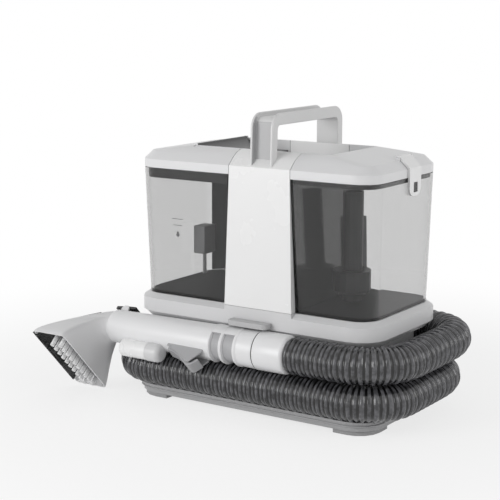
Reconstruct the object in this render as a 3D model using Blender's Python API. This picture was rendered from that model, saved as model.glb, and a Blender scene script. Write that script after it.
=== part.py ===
"""Spot extractor: a carpet and upholstery spot cleaner with two lift-off tanks,
a ribbed suction hose wound twice round its base and a hand wand with a brush nozzle.

Lengths are in metres. +X runs along the machine towards the dirty water tank, +Y to its
back and +Z up. The origin is the centre of the pad under the base plate, on the floor.
"""
import math

import bmesh
import bpy
import numpy as np
from mathutils import Matrix, Vector

# ------------------------------------------------------------------ common clearances
GAP = 0.0003            # between pieces that touch or are fastened together
SLIP = 0.0008           # round pieces that lift, slide or turn by hand
WALL = 0.0025           # moulded covers, deck and housing
ARC_STEPS = 4           # chords in a rounded corner
ROUND_STEPS = 18        # sides of a round piece
SMALL_STEPS = 12        # sides of pins, screws and thin tubes
PAST = 0.0050           # how far a cutting shape runs past what it cuts
FAR_AWAY = 1.0          # half the size of a block that cuts everything on one side
SHARP_ANGLE = math.radians(35)

# ------------------------------------------------------------------ base
FOOT_HEIGHT = 0.0050
FOOT_WIDTH = 0.0160
FOOT_LENGTH = 0.0420
FOOT_CORNER = 0.0260
FOOT_INSET = 0.0055
PAD_RADIUS = 0.0200
COVER_THICKNESS = 0.0052
COVER_INSET = 0.0030
PLATE_HALF_LENGTH = 0.1550
PLATE_HALF_DEPTH = 0.0850
PLATE_CORNER = 0.0320
PLATE_THICKNESS = 0.0055
GROOVE_HEIGHT = 0.0012
GROOVE_DEPTH = 0.0014

# ------------------------------------------------------------------ hose
HOSE_RADIUS = 0.0200
HOSE_VALLEY = 0.0176
HOSE_BORE = 0.0135
HOSE_RIBS = 130
BORE_POINTS = 60
TIER_GAP = 0.0012
LOWER_HALF_LENGTH = 0.1670
LOWER_FRONT = 0.0820
LOWER_BACK = 0.0880
LOWER_BEND = 0.0400
UPPER_HALF_LENGTH = 0.1740
UPPER_FRONT = 0.0880
UPPER_BACK = 0.1040
UPPER_BEND = 0.0480
CLIMB_START = -0.0200
CLIMB_END = -0.0450
HOSE_START = 0.0130
ELBOW_BEND = 0.0280
ELBOW_RADIUS = 0.0195
ELBOW_STEPS = 6
ELBOW_SIDES = 16
HOSE_EASING = 12        # rounds of smoothing along the route

# ------------------------------------------------------------------ housing and deck
CORE_END_ROOM = 0.0090   # from the housing's ends to the hose
CORE_FRONT_ROOM = 0.0060
CORE_CORNER = 0.0200
DECK_CLEARANCE = 0.0010
DECK_HEIGHT = 0.0200
DECK_HALF_LENGTH = 0.1530
DECK_HALF_DEPTH = 0.0795
DECK_CORNER = 0.0300
LEDGE_HEIGHT = 0.0050
LEDGE_MARGIN = 0.0012
SKIRT_DROP = 0.0075      # how far the deck's sloping skirt hangs behind the hose
SKIRT_SETBACK = 0.0008

# ------------------------------------------------------------------ tanks and lids
TANK_HEIGHT = 0.1405
TANK_WALL = 0.0025
TANK_FLOOR = 0.0030
TANK_BOTTOM_HALF_LENGTH = 0.1448
TANK_BOTTOM_HALF_DEPTH = 0.0718
TANK_BOTTOM_CORNER = 0.0230
LID_HALF_LENGTH = 0.1480
LID_HALF_DEPTH = 0.0768
LID_CORNER = 0.0240
BAND_HEIGHT = 0.0092
CHAMFER = 0.0092
CHAMFER_RISE = 0.0085
SHOULDER_FRONT = -0.0611
SHOULDER_BACK = 0.0570
SHOULDER_HALF_LENGTH = 0.1097
SHOULDER_CORNER = 0.0100
SHOULDER_RISE = 0.0041
RIDGE_FRONT = -0.0530
RIDGE_BACK = 0.0470
RIDGE_HALF_LENGTH = 0.0880
RIDGE_CORNER = 0.0050
RIDGE_RISE = 0.0031
RECESS_DEPTH = 0.0135
RECESS_MARGIN = 0.0016
RECESS_RAMP = 0.0360
RAMP_STEPS = 6
SEAL_INSET = 0.0012
SEAL_WIDTH = 0.0030
LID_RIM = 0.0068
CLEAN_SEAL_HEIGHT = 0.0110
DIRTY_SEAL_HEIGHT = 0.0050
MOUTH_LEFT = -0.0640
MOUTH_RIGHT = -0.0340
MOUTH_HALF_DEPTH = 0.0240
MOUTH_CORNER = 0.0060

# ------------------------------------------------------------------ fill flap and lid latch
FLAP_THICKNESS = 0.0022
FLAP_END = -0.0262
FLAP_HINGE_X = -0.0840
KNUCKLE_RADIUS = 0.0021
HINGE_PIN_RADIUS = 0.0009
LUG_WIDTH = 0.0014
LUG_ROOT = 0.0090
LATCH_CENTRE = 0.0115
LATCH_WIDTH = 0.0255
LATCH_THICKNESS = 0.0026
LATCH_DROP = 0.0196
LATCH_HINGE_X = 0.1372
LATCH_LUG = 0.0030
CATCH_CENTRE = 0.0125
CATCH_WIDTH = 0.0090
CATCH_BOTTOM = 0.0038
CATCH_HEIGHT = 0.0105

# ------------------------------------------------------------------ column and handle
COLUMN_CENTRE = 0.0140
COLUMN_TOP_HALF = 0.0380
COLUMN_BOTTOM_HALF = 0.0423
SIDE_RETURN = 0.0085
SIDE_PANEL = 0.0015
HANDLE_WIDTH = 0.0275
HANDLE_OFFSET = 0.0015
HANDLE_TOP = 0.3248
HANDLE_BAR = 0.0123
HANDLE_FRONT = -0.0745
HANDLE_BACK = 0.0700
HANDLE_LEG = 0.0105
HANDLE_LEAN = 0.0020
HANDLE_CORNER = 0.0160
HANDLE_INNER_CORNER = 0.0050
HANDLE_FLANGE = 0.0028
HANDLE_POCKET = 0.0070
POCKET_CORNER = 0.0060

# ------------------------------------------------------------------ inside the tanks
VALVE_X = -0.0800
VALVE_Y = 0.0250
SPOUT_RADIUS = 0.0080
SPOUT_BORE = 0.0050
SPOUT_DROP = 0.0090
FLANGE_WIDTH = 0.0050
FLANGE_THICKNESS = 0.0030
SEAT_WIDTH = 0.0026
LINER_THICKNESS = 0.0016
LINER_DROP = 0.0153      # below the tank's rim
LINER_GAP = 0.0004
FILTER_ROOM = 0.0009     # from the filter to the tank's end wall
FILTER_Y = 0.0330
FILTER_LIFT = 0.0252
FILTER_HEIGHT = 0.0330
FILTER_HALF_WIDTH = 0.0080
FILTER_HALF_DEPTH = 0.0110
FILTER_EDGE = 0.0010
PICKUP_RADIUS = 0.0022
STANDPIPE_X = 0.0810
STANDPIPE_Y = 0.0060
STANDPIPE_RADIUS = 0.0110
STANDPIPE_BORE = 0.0092
STANDPIPE_DROP = 0.0193
BOSS_RADIUS = 0.0300
BOSS_X = 0.0740
BOSS_HEIGHT = 0.0060
FLOAT_WIDTH = 0.0095
FLOAT_HEIGHT = 0.0220
FLOAT_REST = 0.0020
DUCT_WIDTH = 0.0130
DUCT_FRONT = 0.0420
DUCT_BACK = 0.0600
DUCT_DROP = 0.0543
DUCT_CORNER = 0.0050
DUCT_WALL = 0.0015

# ------------------------------------------------------------------ inside the column
MOTOR_Y = 0.0250
MOTOR_RADIUS = 0.0280
MOTOR_HEIGHT = 0.0550
MOTOR_NECK_RADIUS = 0.0120
SHAFT_RADIUS = 0.0030
FAN_RADIUS = 0.0310
FAN_HEIGHT = 0.0260
FAN_WALL = 0.0018
FAN_EYE_RADIUS = 0.0120
IMPELLER_RADIUS = 0.0270
IMPELLER_HEIGHT = 0.0140
IMPELLER_LIFT = 0.0020
HUB_RADIUS = 0.0070
IMPELLER_BLADES = 9
BLADE_THICKNESS = 0.0014
DISC_THICKNESS = 0.0020
PUMP_Y = -0.0400
PUMP_WIDTH = 0.0400
PUMP_DEPTH = 0.0300
PUMP_HEIGHT = 0.0450
PUMP_EDGE = 0.0020
BOARD_STANDOFF = 0.0103
BOARD_WIDTH = 0.0560
BOARD_HEIGHT = 0.0800
BOARD_DROP = 0.0043
BOARD_THICKNESS = 0.0016
BOARD_POST_RADIUS = 0.0030
BUTTON_DROP = 0.0293
BUTTON_RADIUS = 0.0110
BUTTON_TRAVEL = 0.0025
BUTTON_PROUD = 0.0030
BUTTON_RIM = 0.0030
INLET_LIFT = 0.0165
INLET_RADIUS = 0.0070
INLET_BORE = 0.0036
INLET_LENGTH = 0.0120
SCREW_HEAD_RADIUS = 0.0035
SCREW_HEAD = 0.0022
SCREW_SHANK_RADIUS = 0.0016
SCREW_LENGTH = 0.0100
SCREW_INSET = 0.0100
SCREW_LIFT = 0.0115
SCREW_DROP = 0.0113
BOSS_HALF = 0.0040
BOSS_LENGTH = 0.0180

# ------------------------------------------------------------------ wand, along its own X
WAND_ROLL = math.radians(-47)
WAND_BORE = 0.0125
COLLAR_RADIUS = 0.0208
COLLAR_LENGTH = 0.0370
COLLAR_END = 0.0620
COLLAR_LIP = 0.0060
GRIP_RADIUS = 0.0200
GRIP_NECK = 0.0172
GRIP_LENGTH = 0.0560
GRIP_GROOVE = 0.0012
GRIP_GROOVES = ((0.0050, 0.0140), (0.0190, 0.0350), (0.0400, 0.0490))
WAND_TIP_RADIUS = 0.0168
WAND_TIP = -0.1700
SPIGOT_RADIUS = 0.0136
SPIGOT_BORE = 0.0114
SPIGOT_LENGTH = 0.0170
TRIGGER_HALF_WIDTH = 0.0070
TRIGGER_SETBACK = 0.0480
TRIGGER_DROP = 0.0195
TRIGGER_PIN_RADIUS = 0.0015
TRIGGER_PROFILE = ((-0.0055, 0.0033), (-0.0045, -0.0020), (0.0095, -0.0030), (0.0330, -0.0110),
                   (0.0528, -0.0217), (0.0565, -0.0205), (0.0585, -0.0141), (0.0555, -0.0101),
                   (0.0460, -0.0073), (0.0390, -0.0017))
SLOT_FLOOR = 0.0145
SLOT_END = 0.0020
LUG_THICKNESS = 0.0030
LUG_LENGTH = 0.0130
LUG_DROP = 0.0232
CANISTER_START = -0.1470
CANISTER_SEAM = -0.1100
CANISTER_END = -0.0920
CANISTER_DROP = 0.0250
CANISTER_RADIUS = 0.0100
CAP_PROUD = 0.0006
LATCH_SETBACK = 0.0055
LATCH_STANDOFF = 0.0036
LATCH_PROFILE = ((-0.0145, -0.0030), (-0.0119, -0.0030), (-0.0100, -0.0018), (0.0, -0.0018),
                 (0.0115, 0.0002), (0.0115, 0.0028), (0.0, 0.0022), (-0.0145, 0.0004))
LATCH_HALF_WIDTH = 0.0060
EAR_LENGTH = 0.0050
EAR_WIDTH = 0.0020
STUB_RADIUS = 0.0012
REST_LEFT = -0.0170
REST_RIGHT = 0.0320
REST_BOTTOM = 0.1000
REST_THICKNESS = 0.0060
REST_REACH = 0.0125
REST_CORNER = 0.0050

# ------------------------------------------------------------------ nozzle and its brush
MOUTH_DEPTH = 0.0530
MOUTH_REACH = 0.0375
MOUTH_HALF_LENGTH = 0.0228
MOUTH_HALF_WIDTH = 0.0530
HOOD_WALL = 0.0022
HOOD_STEPS = 7
HOOD_SIDES = 24
MOUTH_SQUARENESS = 14
NECK_LEAD = 0.0120
MOUTH_LEAD = 0.0100
WINDOW_END_SHARE = 1.03
WINDOW_FIRST_STEP = 2
WINDOW_GAP = 0.0005
WINDOW_THICKNESS = 0.0018
BRUSH_DEPTH = 0.0400
BRUSH_THICKNESS = 0.0040
BRUSH_HALF_WIDTH = 0.0430
BRUSH_NEAR = 0.0200
BRUSH_FAR = 0.0110
BRUSH_CORNER = 0.0070
TUFTS = 10
TUFT_PITCH = 0.0084
TUFT_ROWS = (0.0125, -0.0045)
TUFT_STRANDS = 15
TUFT_RADIUS = 0.0028
STRAND_RADIUS = 0.00042
STRAND_LENGTH = 0.0120
STRAND_SPLAY = 0.35
STRAND_ROOT = 0.0010
GOLDEN_ANGLE = math.pi * (3 - math.sqrt(5))
JET_RADIUS = 0.0050
JET_BORE = 0.0016
JET_LENGTH = 0.0110

# ------------------------------------------------------------------ heights that follow
COVER_BASE = FOOT_HEIGHT
PLATE_BASE = COVER_BASE + COVER_THICKNESS + GAP
PLATE_TOP = PLATE_BASE + PLATE_THICKNESS
CORE_BASE = PLATE_TOP + GAP
LOWER_TIER = PLATE_TOP + GAP + HOSE_RADIUS
UPPER_TIER = LOWER_TIER + 2 * HOSE_RADIUS + TIER_GAP
DECK_BASE = UPPER_TIER + HOSE_RADIUS + DECK_CLEARANCE
CORE_TOP = DECK_BASE - GAP
DECK_TOP = DECK_BASE + DECK_HEIGHT
TANK_BASE = DECK_TOP + GAP
TANK_TOP = TANK_BASE + TANK_HEIGHT
TANK_INSIDE = TANK_BASE + TANK_FLOOR
LID_BASE = TANK_TOP + GAP
BAND_TOP = LID_BASE + BAND_HEIGHT
CHAMFER_TOP = BAND_TOP + CHAMFER_RISE
SHOULDER_TOP = CHAMFER_TOP + SHOULDER_RISE
RIDGE_TOP = SHOULDER_TOP + RIDGE_RISE
RECESS_FLOOR = RIDGE_TOP - RECESS_DEPTH
CORE_HALF_LENGTH = LOWER_HALF_LENGTH - HOSE_RADIUS - CORE_END_ROOM
CORE_HALF_DEPTH = LOWER_FRONT - HOSE_RADIUS - CORE_FRONT_ROOM
LINER_TOP = TANK_TOP - LINER_DROP
FILTER_BASE = TANK_INSIDE + FILTER_LIFT
STANDPIPE_TOP = TANK_TOP - STANDPIPE_DROP
DUCT_TOP = TANK_TOP - DUCT_DROP
BOARD_Y = BOARD_STANDOFF + WALL - LID_HALF_DEPTH
BOARD_BOTTOM = TANK_TOP - BOARD_DROP - BOARD_HEIGHT
BUTTON_HEIGHT = TANK_TOP - BUTTON_DROP
INLET_HEIGHT = DECK_TOP + INLET_LIFT
SCREW_LOW = DECK_TOP + SCREW_LIFT
SCREW_HIGH = TANK_TOP - SCREW_DROP

# ------------------------------------------------------------------ places along the wand
WAND_Y = -UPPER_FRONT
WAND_Z = UPPER_TIER
GRIP_START = COLLAR_END - COLLAR_LENGTH - GRIP_LENGTH
TRIGGER_PIVOT = GRIP_START - TRIGGER_SETBACK
LATCH_PIVOT = WAND_TIP + LATCH_SETBACK
LATCH_LIFT = WAND_TIP_RADIUS + LATCH_STANDOFF
MOUTH_X = WAND_TIP - MOUTH_REACH


# ================================================================== building blocks
def clear_scene():
    for item in list(bpy.data.objects):
        bpy.data.objects.remove(item, do_unlink=True)


def grey(level, warmth=0.0):
    """Linear colour of an sRGB grey between 0 and 255, a little warmer or cooler."""
    linear = ((level / 255 + 0.055) / 1.055) ** 2.4
    return (linear * (1 + warmth), linear, linear * (1 - warmth), 1.0)


def finish(name, colour, roughness, metallic=0.0):
    material = bpy.data.materials.new(name)
    material.use_nodes = True
    shader = material.node_tree.nodes["Principled BSDF"]
    shader.inputs["Base Color"].default_value = colour
    shader.inputs["Roughness"].default_value = roughness
    shader.inputs["Metallic"].default_value = metallic
    material.diffuse_color = colour
    return material


def add(name, bm, colour, roughness=0.4, metallic=0.0):
    """Turn a bmesh into a named object with its own finish, shaded smooth but for its edges."""
    bmesh.ops.recalc_face_normals(bm, faces=bm.faces)
    mesh = bpy.data.meshes.new(name)
    bm.to_mesh(mesh)
    bm.free()
    mesh.shade_smooth()
    mesh.set_sharp_from_angle(angle=SHARP_ANGLE)
    mesh.materials.append(finish(name, colour, roughness, metallic))
    piece = bpy.data.objects.new(name, mesh)
    bpy.context.collection.objects.link(piece)
    return piece


def shape(name, bm):
    """A cutting or joining shape, shown as wires only."""
    bmesh.ops.recalc_face_normals(bm, faces=bm.faces)
    mesh = bpy.data.meshes.new(name)
    bm.to_mesh(mesh)
    bm.free()
    tool = bpy.data.objects.new(name, mesh)
    bpy.context.collection.objects.link(tool)
    tool.hide_render = True
    tool.display_type = "WIRE"
    return tool


def combine(piece, tool, operation="DIFFERENCE"):
    modifier = piece.modifiers.new(tool.name, "BOOLEAN")
    modifier.operation = operation
    modifier.solver = "EXACT"
    modifier.object = tool
    return piece


def pivot(piece, point):
    """Move a piece's origin to a point without moving the piece."""
    piece.data.transform(Matrix.Translation(-Vector(point)))
    piece.location = Vector(point)
    return piece


def loft(loops, ring=False):
    """Extrude the first loop's face through the other loops; a ring is open right through."""
    bm = bmesh.new()
    first = bm.faces.new([bm.verts.new(point) for point in loops[0]])
    cap = first
    for loop in loops[1:]:
        grown = bmesh.ops.extrude_face_region(bm, geom=[cap])["geom"]
        if cap != first:
            bmesh.ops.delete(bm, geom=[cap], context="FACES_ONLY")
        cap = next(item for item in grown if isinstance(item, bmesh.types.BMFace))
        for vertex, point in zip(cap.verts, loop):
            vertex.co = point
    if ring:
        rims = list(first.edges) + list(cap.edges)
        bmesh.ops.delete(bm, geom=[first, cap], context="FACES_ONLY")
        bmesh.ops.bridge_loops(bm, edges=rims)
    return bm


def outline(x0, x1, y0, y1, radii):
    """A rectangle's points, counter-clockwise from its near left corner, each corner rounded."""
    points = []
    for x, y, inward_x, inward_y, start, radius in (
            (x0, y0, 1, 1, 180, radii[0]), (x1, y0, -1, 1, 270, radii[1]),
            (x1, y1, -1, -1, 0, radii[2]), (x0, y1, 1, -1, 90, radii[3])):
        if radius == 0:
            points.append((x, y))
            continue
        for step in range(ARC_STEPS + 1):
            angle = math.radians(start + 90 * step / ARC_STEPS)
            points.append((x + radius * (inward_x + math.cos(angle)),
                           y + radius * (inward_y + math.sin(angle))))
    return points


def level(points, z):
    return [Vector((x, y, z)) for x, y in points]


def prism(profile, axis, low, high):
    """Extrude a flat outline along one axis; its points give the other two in x, y, z order."""
    def placed(height):
        if axis == "x":
            return [Vector((height, a, b)) for a, b in profile]
        if axis == "y":
            return [Vector((a, height, b)) for a, b in profile]
        return [Vector((a, b, height)) for a, b in profile]
    return loft([placed(low), placed(high)])


def block(low, high):
    return prism(outline(low[0], high[0], low[1], high[1], (0, 0, 0, 0)), "z", low[2], high[2])


def bevelled(piece, width, segments=2):
    modifier = piece.modifiers.new("rounded edges", "BEVEL")
    modifier.width = width
    modifier.segments = segments
    modifier.limit_method = "ANGLE"
    modifier.angle_limit = SHARP_ANGLE
    return piece


def turned(profile, sides=ROUND_STEPS, place=(0, 0, 0), axis="z"):
    """Spin a closed outline of (radius, height) points about its axis."""
    bm = bmesh.new()
    verts = [bm.verts.new((radius, 0, height)) for radius, height in profile]
    edges = [bm.edges.new(pair) for pair in zip(verts, verts[1:] + verts[:1])]
    bmesh.ops.spin(bm, geom=verts + edges, cent=(0, 0, 0), axis=(0, 0, 1),
                   angle=math.tau, steps=sides, use_merge=True)
    bmesh.ops.remove_doubles(bm, verts=bm.verts, dist=1e-6)
    turn = {"z": Matrix.Identity(4), "x": Matrix.Rotation(math.pi / 2, 4, "Y"),
            "y": Matrix.Rotation(-math.pi / 2, 4, "X")}[axis]
    bm.transform(Matrix.Translation(place) @ turn)
    return bm


def disc(radius, low, high):
    """Outline of a plain round bar, for turned()."""
    return ((0, low), (radius, low), (radius, high), (0, high))


def sleeve(outer, inner, low, high):
    """Outline of a plain tube, for turned()."""
    return ((inner, low), (outer, low), (outer, high), (inner, high))


def circle(centre, across, upward, radius, sides=ROUND_STEPS):
    return [centre + radius * (across * math.cos(math.tau * i / sides)
                               + upward * math.sin(math.tau * i / sides)) for i in range(sides)]


def arc(centre_x, centre_y, radius, start, end, steps=ARC_STEPS):
    """Points along an arc from one angle to another, in degrees."""
    angles = [math.radians(start + (end - start) * i / steps) for i in range(steps + 1)]
    return [(centre_x + radius * math.cos(a), centre_y + radius * math.sin(a)) for a in angles]


def mix(low, high, share):
    return low + (high - low) * share


# ================================================================== shared outlines
def rise(z):
    """How far up the tanks a height is, from 0 at their floor to 1 at their rim."""
    return (z - TANK_BASE) / TANK_HEIGHT


def column_half(z):
    return mix(COLUMN_BOTTOM_HALF, COLUMN_TOP_HALF, min(rise(z), 1))


def column_depth(z):
    return mix(DECK_HALF_DEPTH, LID_HALF_DEPTH, min(rise(z), 1))


def tank_half_length(z):
    return mix(TANK_BOTTOM_HALF_LENGTH, LID_HALF_LENGTH, rise(z))


def tank_outline(side, z, inset=0.0):
    """Level section of a tank: side -1 is the clean water tank, side 1 the dirty one."""
    share = rise(z)
    length = tank_half_length(z) - inset
    depth = mix(TANK_BOTTOM_HALF_DEPTH, LID_HALF_DEPTH, share) - inset
    corner = mix(TANK_BOTTOM_CORNER, LID_CORNER, share) - inset
    inner = COLUMN_CENTRE + side * (column_half(z) + GAP + inset)
    if side < 0:
        return outline(-length, inner, -depth, depth, (corner, 0, 0, corner))
    return outline(inner, length, -depth, depth, (0, corner, corner, 0))


def roof_outline(side, length, front, back, corner, inset):
    if side == 0:
        half = COLUMN_TOP_HALF - inset
        return outline(COLUMN_CENTRE - half, COLUMN_CENTRE + half, front + inset, back - inset,
                       (0, 0, 0, 0))
    inner = COLUMN_CENTRE + side * (COLUMN_TOP_HALF + GAP + inset)
    corner = max(corner - inset, GAP)
    if side < 0:
        return outline(inset - length, inner, front + inset, back - inset, (corner, 0, 0, corner))
    return outline(inner, length - inset, front + inset, back - inset, (0, corner, corner, 0))


def roof(side, inset=0.0, lower=0.0, base=LID_BASE):
    """Loops of the roof that the lids and the column share, from its band up to its ridge."""
    depth = LID_HALF_DEPTH
    levels = (
        (base, LID_HALF_LENGTH, -depth, depth, LID_CORNER),
        (BAND_TOP - lower, LID_HALF_LENGTH, -depth, depth, LID_CORNER),
        (CHAMFER_TOP - lower, LID_HALF_LENGTH - CHAMFER, CHAMFER - depth, depth - CHAMFER,
         LID_CORNER - CHAMFER),
        (SHOULDER_TOP - lower, SHOULDER_HALF_LENGTH, SHOULDER_FRONT, SHOULDER_BACK,
         SHOULDER_CORNER),
        (RIDGE_TOP - lower, RIDGE_HALF_LENGTH, RIDGE_FRONT, RIDGE_BACK, RIDGE_CORNER))
    return [level(roof_outline(side, length, front, back, corner, inset), z)
            for z, length, front, back, corner in levels]


def ramp_height(x, spread=0.0):
    """Height of the recess's left ramp, which hollows down from its rim to its floor."""
    share = min(max((x + RIDGE_HALF_LENGTH - RECESS_MARGIN + spread) / RECESS_RAMP, 0), 1)
    return RECESS_FLOOR - spread + RECESS_DEPTH * (1 - share) ** 2


def recess(name, spread=0.0):
    """The hand space across the roof; spread leaves a wall's thickness round it."""
    rim = RIDGE_HALF_LENGTH - RECESS_MARGIN + spread
    left = [(-rim + RECESS_RAMP * i / RAMP_STEPS) for i in range(RAMP_STEPS + 1)]
    ramp = [(x, ramp_height(x, spread)) for x in left]
    profile = [(-rim, RIDGE_TOP + PAST)] + ramp + [(-x, z) for x, z in reversed(ramp)]
    profile.append((rim, RIDGE_TOP + PAST))
    return shape(name, prism(profile, "y", RIDGE_FRONT + RECESS_MARGIN - spread,
                             RIDGE_BACK - RECESS_MARGIN + spread))


# ================================================================== base
def make_base():
    length = PLATE_HALF_LENGTH - COVER_INSET
    depth = PLATE_HALF_DEPTH - COVER_INSET
    cover = add("bottom_cover", prism(outline(-length, length, -depth, depth,
                                              (PLATE_CORNER - COVER_INSET,) * 4),
                                      "z", COVER_BASE, COVER_BASE + COVER_THICKNESS),
                grey(0x8A), 0.5)
    pad = turned(disc(PAD_RADIUS, 0, COVER_BASE + COVER_THICKNESS / 2))
    combine(cover, shape("centre pad", pad), "UNION")

    def plate_loop(z, inset):
        return level(outline(inset - PLATE_HALF_LENGTH, PLATE_HALF_LENGTH - inset,
                             inset - PLATE_HALF_DEPTH, PLATE_HALF_DEPTH - inset,
                             (PLATE_CORNER - inset,) * 4), z)
    groove = PLATE_BASE + (PLATE_THICKNESS - GROOVE_HEIGHT) / 3
    add("base_plate", loft([
        plate_loop(PLATE_BASE, 0), plate_loop(groove, 0), plate_loop(groove, GROOVE_DEPTH),
        plate_loop(groove + GROOVE_HEIGHT, GROOVE_DEPTH), plate_loop(groove + GROOVE_HEIGHT, 0),
        plate_loop(PLATE_TOP, 0)]), grey(0x94), 0.45)

    for name, side, end in (("foot_front_left", -1, -1), ("foot_front_right", 1, -1),
                            ("foot_back_left", -1, 1), ("foot_back_right", 1, 1)):
        make_foot(name, side, end)


def make_foot(name, side, end):
    """A rubber foot that follows the plate's corner."""
    x = PLATE_HALF_LENGTH - FOOT_INSET
    y = PLATE_HALF_DEPTH - FOOT_INSET
    centre = (x - FOOT_CORNER, y - FOOT_CORNER)
    points = [(x - FOOT_LENGTH, y)] + arc(*centre, FOOT_CORNER, 90, 0)
    points += [(x, y - FOOT_LENGTH), (x - FOOT_WIDTH, y - FOOT_LENGTH)]
    points += arc(*centre, FOOT_CORNER - FOOT_WIDTH, 0, 90) + [(x - FOOT_LENGTH, y - FOOT_WIDTH)]
    add(name, prism([(side * a, end * b) for a, b in points], "z", 0, FOOT_HEIGHT - GAP),
        grey(0x50), 0.8)


# ================================================================== hose
def hose_path(count, past=0.0):
    """Equal steps along the hose: round the base low down, then again on top of itself."""
    low_x = LOWER_HALF_LENGTH - LOWER_BEND
    high_x = UPPER_HALF_LENGTH - UPPER_BEND
    front = LOWER_BEND - LOWER_FRONT
    route = [(HOSE_START + GAP - past, LOWER_BACK)]
    route += arc(low_x, LOWER_BACK - LOWER_BEND, LOWER_BEND, 90, 0)
    route += arc(low_x, front, LOWER_BEND, 0, -90)
    route += arc(-low_x, front, LOWER_BEND, -90, -180)
    climb_from = len(route)
    route += [(-LOWER_HALF_LENGTH, CLIMB_START)]
    route += arc(-high_x, UPPER_BACK - UPPER_BEND, UPPER_BEND, 180, 90)
    climb_to = len(route)
    route += [(CLIMB_END, UPPER_BACK)]
    route += arc(high_x, UPPER_BACK - UPPER_BEND, UPPER_BEND, 90, 0)
    route += arc(high_x, UPPER_BEND - UPPER_FRONT, UPPER_BEND, 0, -90)
    route += [(COLLAR_END + GAP - past, -UPPER_FRONT)]

    flat = np.array(route)
    along = np.concatenate(([0], np.cumsum(np.linalg.norm(np.diff(flat, axis=0), axis=1))))
    steps = np.linspace(0, along[-1], 400)
    share = (steps - along[climb_from]) / (along[climb_to] - along[climb_from])
    share = np.clip(share, 0, 1)
    height = mix(LOWER_TIER, UPPER_TIER, share * share * (3 - 2 * share))
    path = np.stack([np.interp(steps, along, flat[:, 0]), np.interp(steps, along, flat[:, 1]),
                     height], axis=1)
    free = np.minimum(steps, along[-1] - steps) - 2.2 * HOSE_RADIUS - past
    free = np.clip(free / (2 * HOSE_RADIUS), 0, 1)[1:-1, None]
    for _ in range(HOSE_EASING):
        middle = (path[:-2] + 2 * path[1:-1] + path[2:]) / 4
        path[1:-1] += free * (middle - path[1:-1])
    along = np.concatenate(([0], np.cumsum(np.linalg.norm(np.diff(path, axis=0), axis=1))))
    steps = np.linspace(0, along[-1], count)
    return np.stack([np.interp(steps, along, path[:, i]) for i in range(3)], axis=1), along[-1]


def tube(name, points, radius, swell=None, resolution=2):
    """A mesh tube along points; swell scales its radius at each of them."""
    curve = bpy.data.curves.new(name, "CURVE")
    curve.dimensions = "3D"
    curve.bevel_depth = radius
    curve.bevel_resolution = resolution
    curve.use_fill_caps = True
    spline = curve.splines.new("POLY")
    spline.points.add(len(points) - 1)
    for i, (node, point) in enumerate(zip(spline.points, points)):
        node.co = (*point, 1)
        node.radius = swell[i] if swell else 1
    item = bpy.data.objects.new(name, curve)
    bpy.context.collection.objects.link(item)
    bpy.context.view_layer.update()
    mesh = bpy.data.meshes.new_from_object(item.evaluated_get(
        bpy.context.evaluated_depsgraph_get()))
    bpy.data.objects.remove(item, do_unlink=True)
    bpy.data.curves.remove(curve)
    bm = bmesh.new()
    bm.from_mesh(mesh)
    bpy.data.meshes.remove(mesh)
    bmesh.ops.remove_doubles(bm, verts=bm.verts, dist=1e-6)
    return bm


def make_hose():
    points, length = hose_path(2 * HOSE_RIBS)
    swell = [1 if i % 2 else HOSE_VALLEY / HOSE_RADIUS for i in range(len(points))]
    hose = add("hose", tube("hose skin", points, HOSE_RADIUS, swell), grey(0x58), 0.45)
    bore, _ = hose_path(BORE_POINTS, PAST)
    combine(hose, shape("hose bore", tube("hose bore", bore, HOSE_BORE)))

    spots, _ = hose_path(600)
    apart = np.linalg.norm(spots[:, None] - spots[None], axis=2)
    index = np.arange(len(spots))
    apart[np.abs(index[:, None] - index[None]) * length / len(spots) < 5 * HOSE_RADIUS] = 1
    print(f"hose: {length:.3f} m long, least gap to itself "
          f"{1000 * (apart.min() - 2 * HOSE_RADIUS):.2f} mm")


def make_connector():
    """The elbow that carries the hose out of the housing's back wall."""
    centre = (HOSE_START, LOWER_BACK - ELBOW_BEND)
    path = [(HOSE_START - ELBOW_BEND, CORE_HALF_DEPTH + GAP)]
    path += arc(*centre, ELBOW_BEND, 180, 90, ELBOW_STEPS)
    headings = [90] + [90 - 90 * i / ELBOW_STEPS for i in range(ELBOW_STEPS + 1)]

    def loops(radius):
        rows = []
        for (x, y), heading in zip(path, headings):
            turn = math.radians(heading - 90)
            across = Vector((math.cos(turn), math.sin(turn), 0))
            rows.append(circle(Vector((x, y, LOWER_TIER)), across, Vector((0, 0, 1)), radius,
                               ELBOW_SIDES))
        return rows
    add("hose_connector", loft(loops(ELBOW_RADIUS) + loops(HOSE_BORE)[::-1], ring=True),
        grey(0x60), 0.5)


# ================================================================== housing and deck
def make_housing():
    def core_loop(z, inset):
        return level(outline(inset - CORE_HALF_LENGTH, CORE_HALF_LENGTH - inset,
                             inset - CORE_HALF_DEPTH, CORE_HALF_DEPTH - inset,
                             (CORE_CORNER - inset,) * 4), z)
    housing = add("lower_housing", loft([
        core_loop(CORE_BASE, 0), core_loop(CORE_TOP, 0), core_loop(CORE_TOP, WALL),
        core_loop(CORE_BASE + WALL, WALL)]), grey(0x78), 0.5)
    port = turned(disc(HOSE_BORE, -2 * WALL, 2 * WALL), axis="y",
                  place=(HOSE_START - ELBOW_BEND, CORE_HALF_DEPTH, LOWER_TIER))
    combine(housing, shape("hose port", port))


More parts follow.
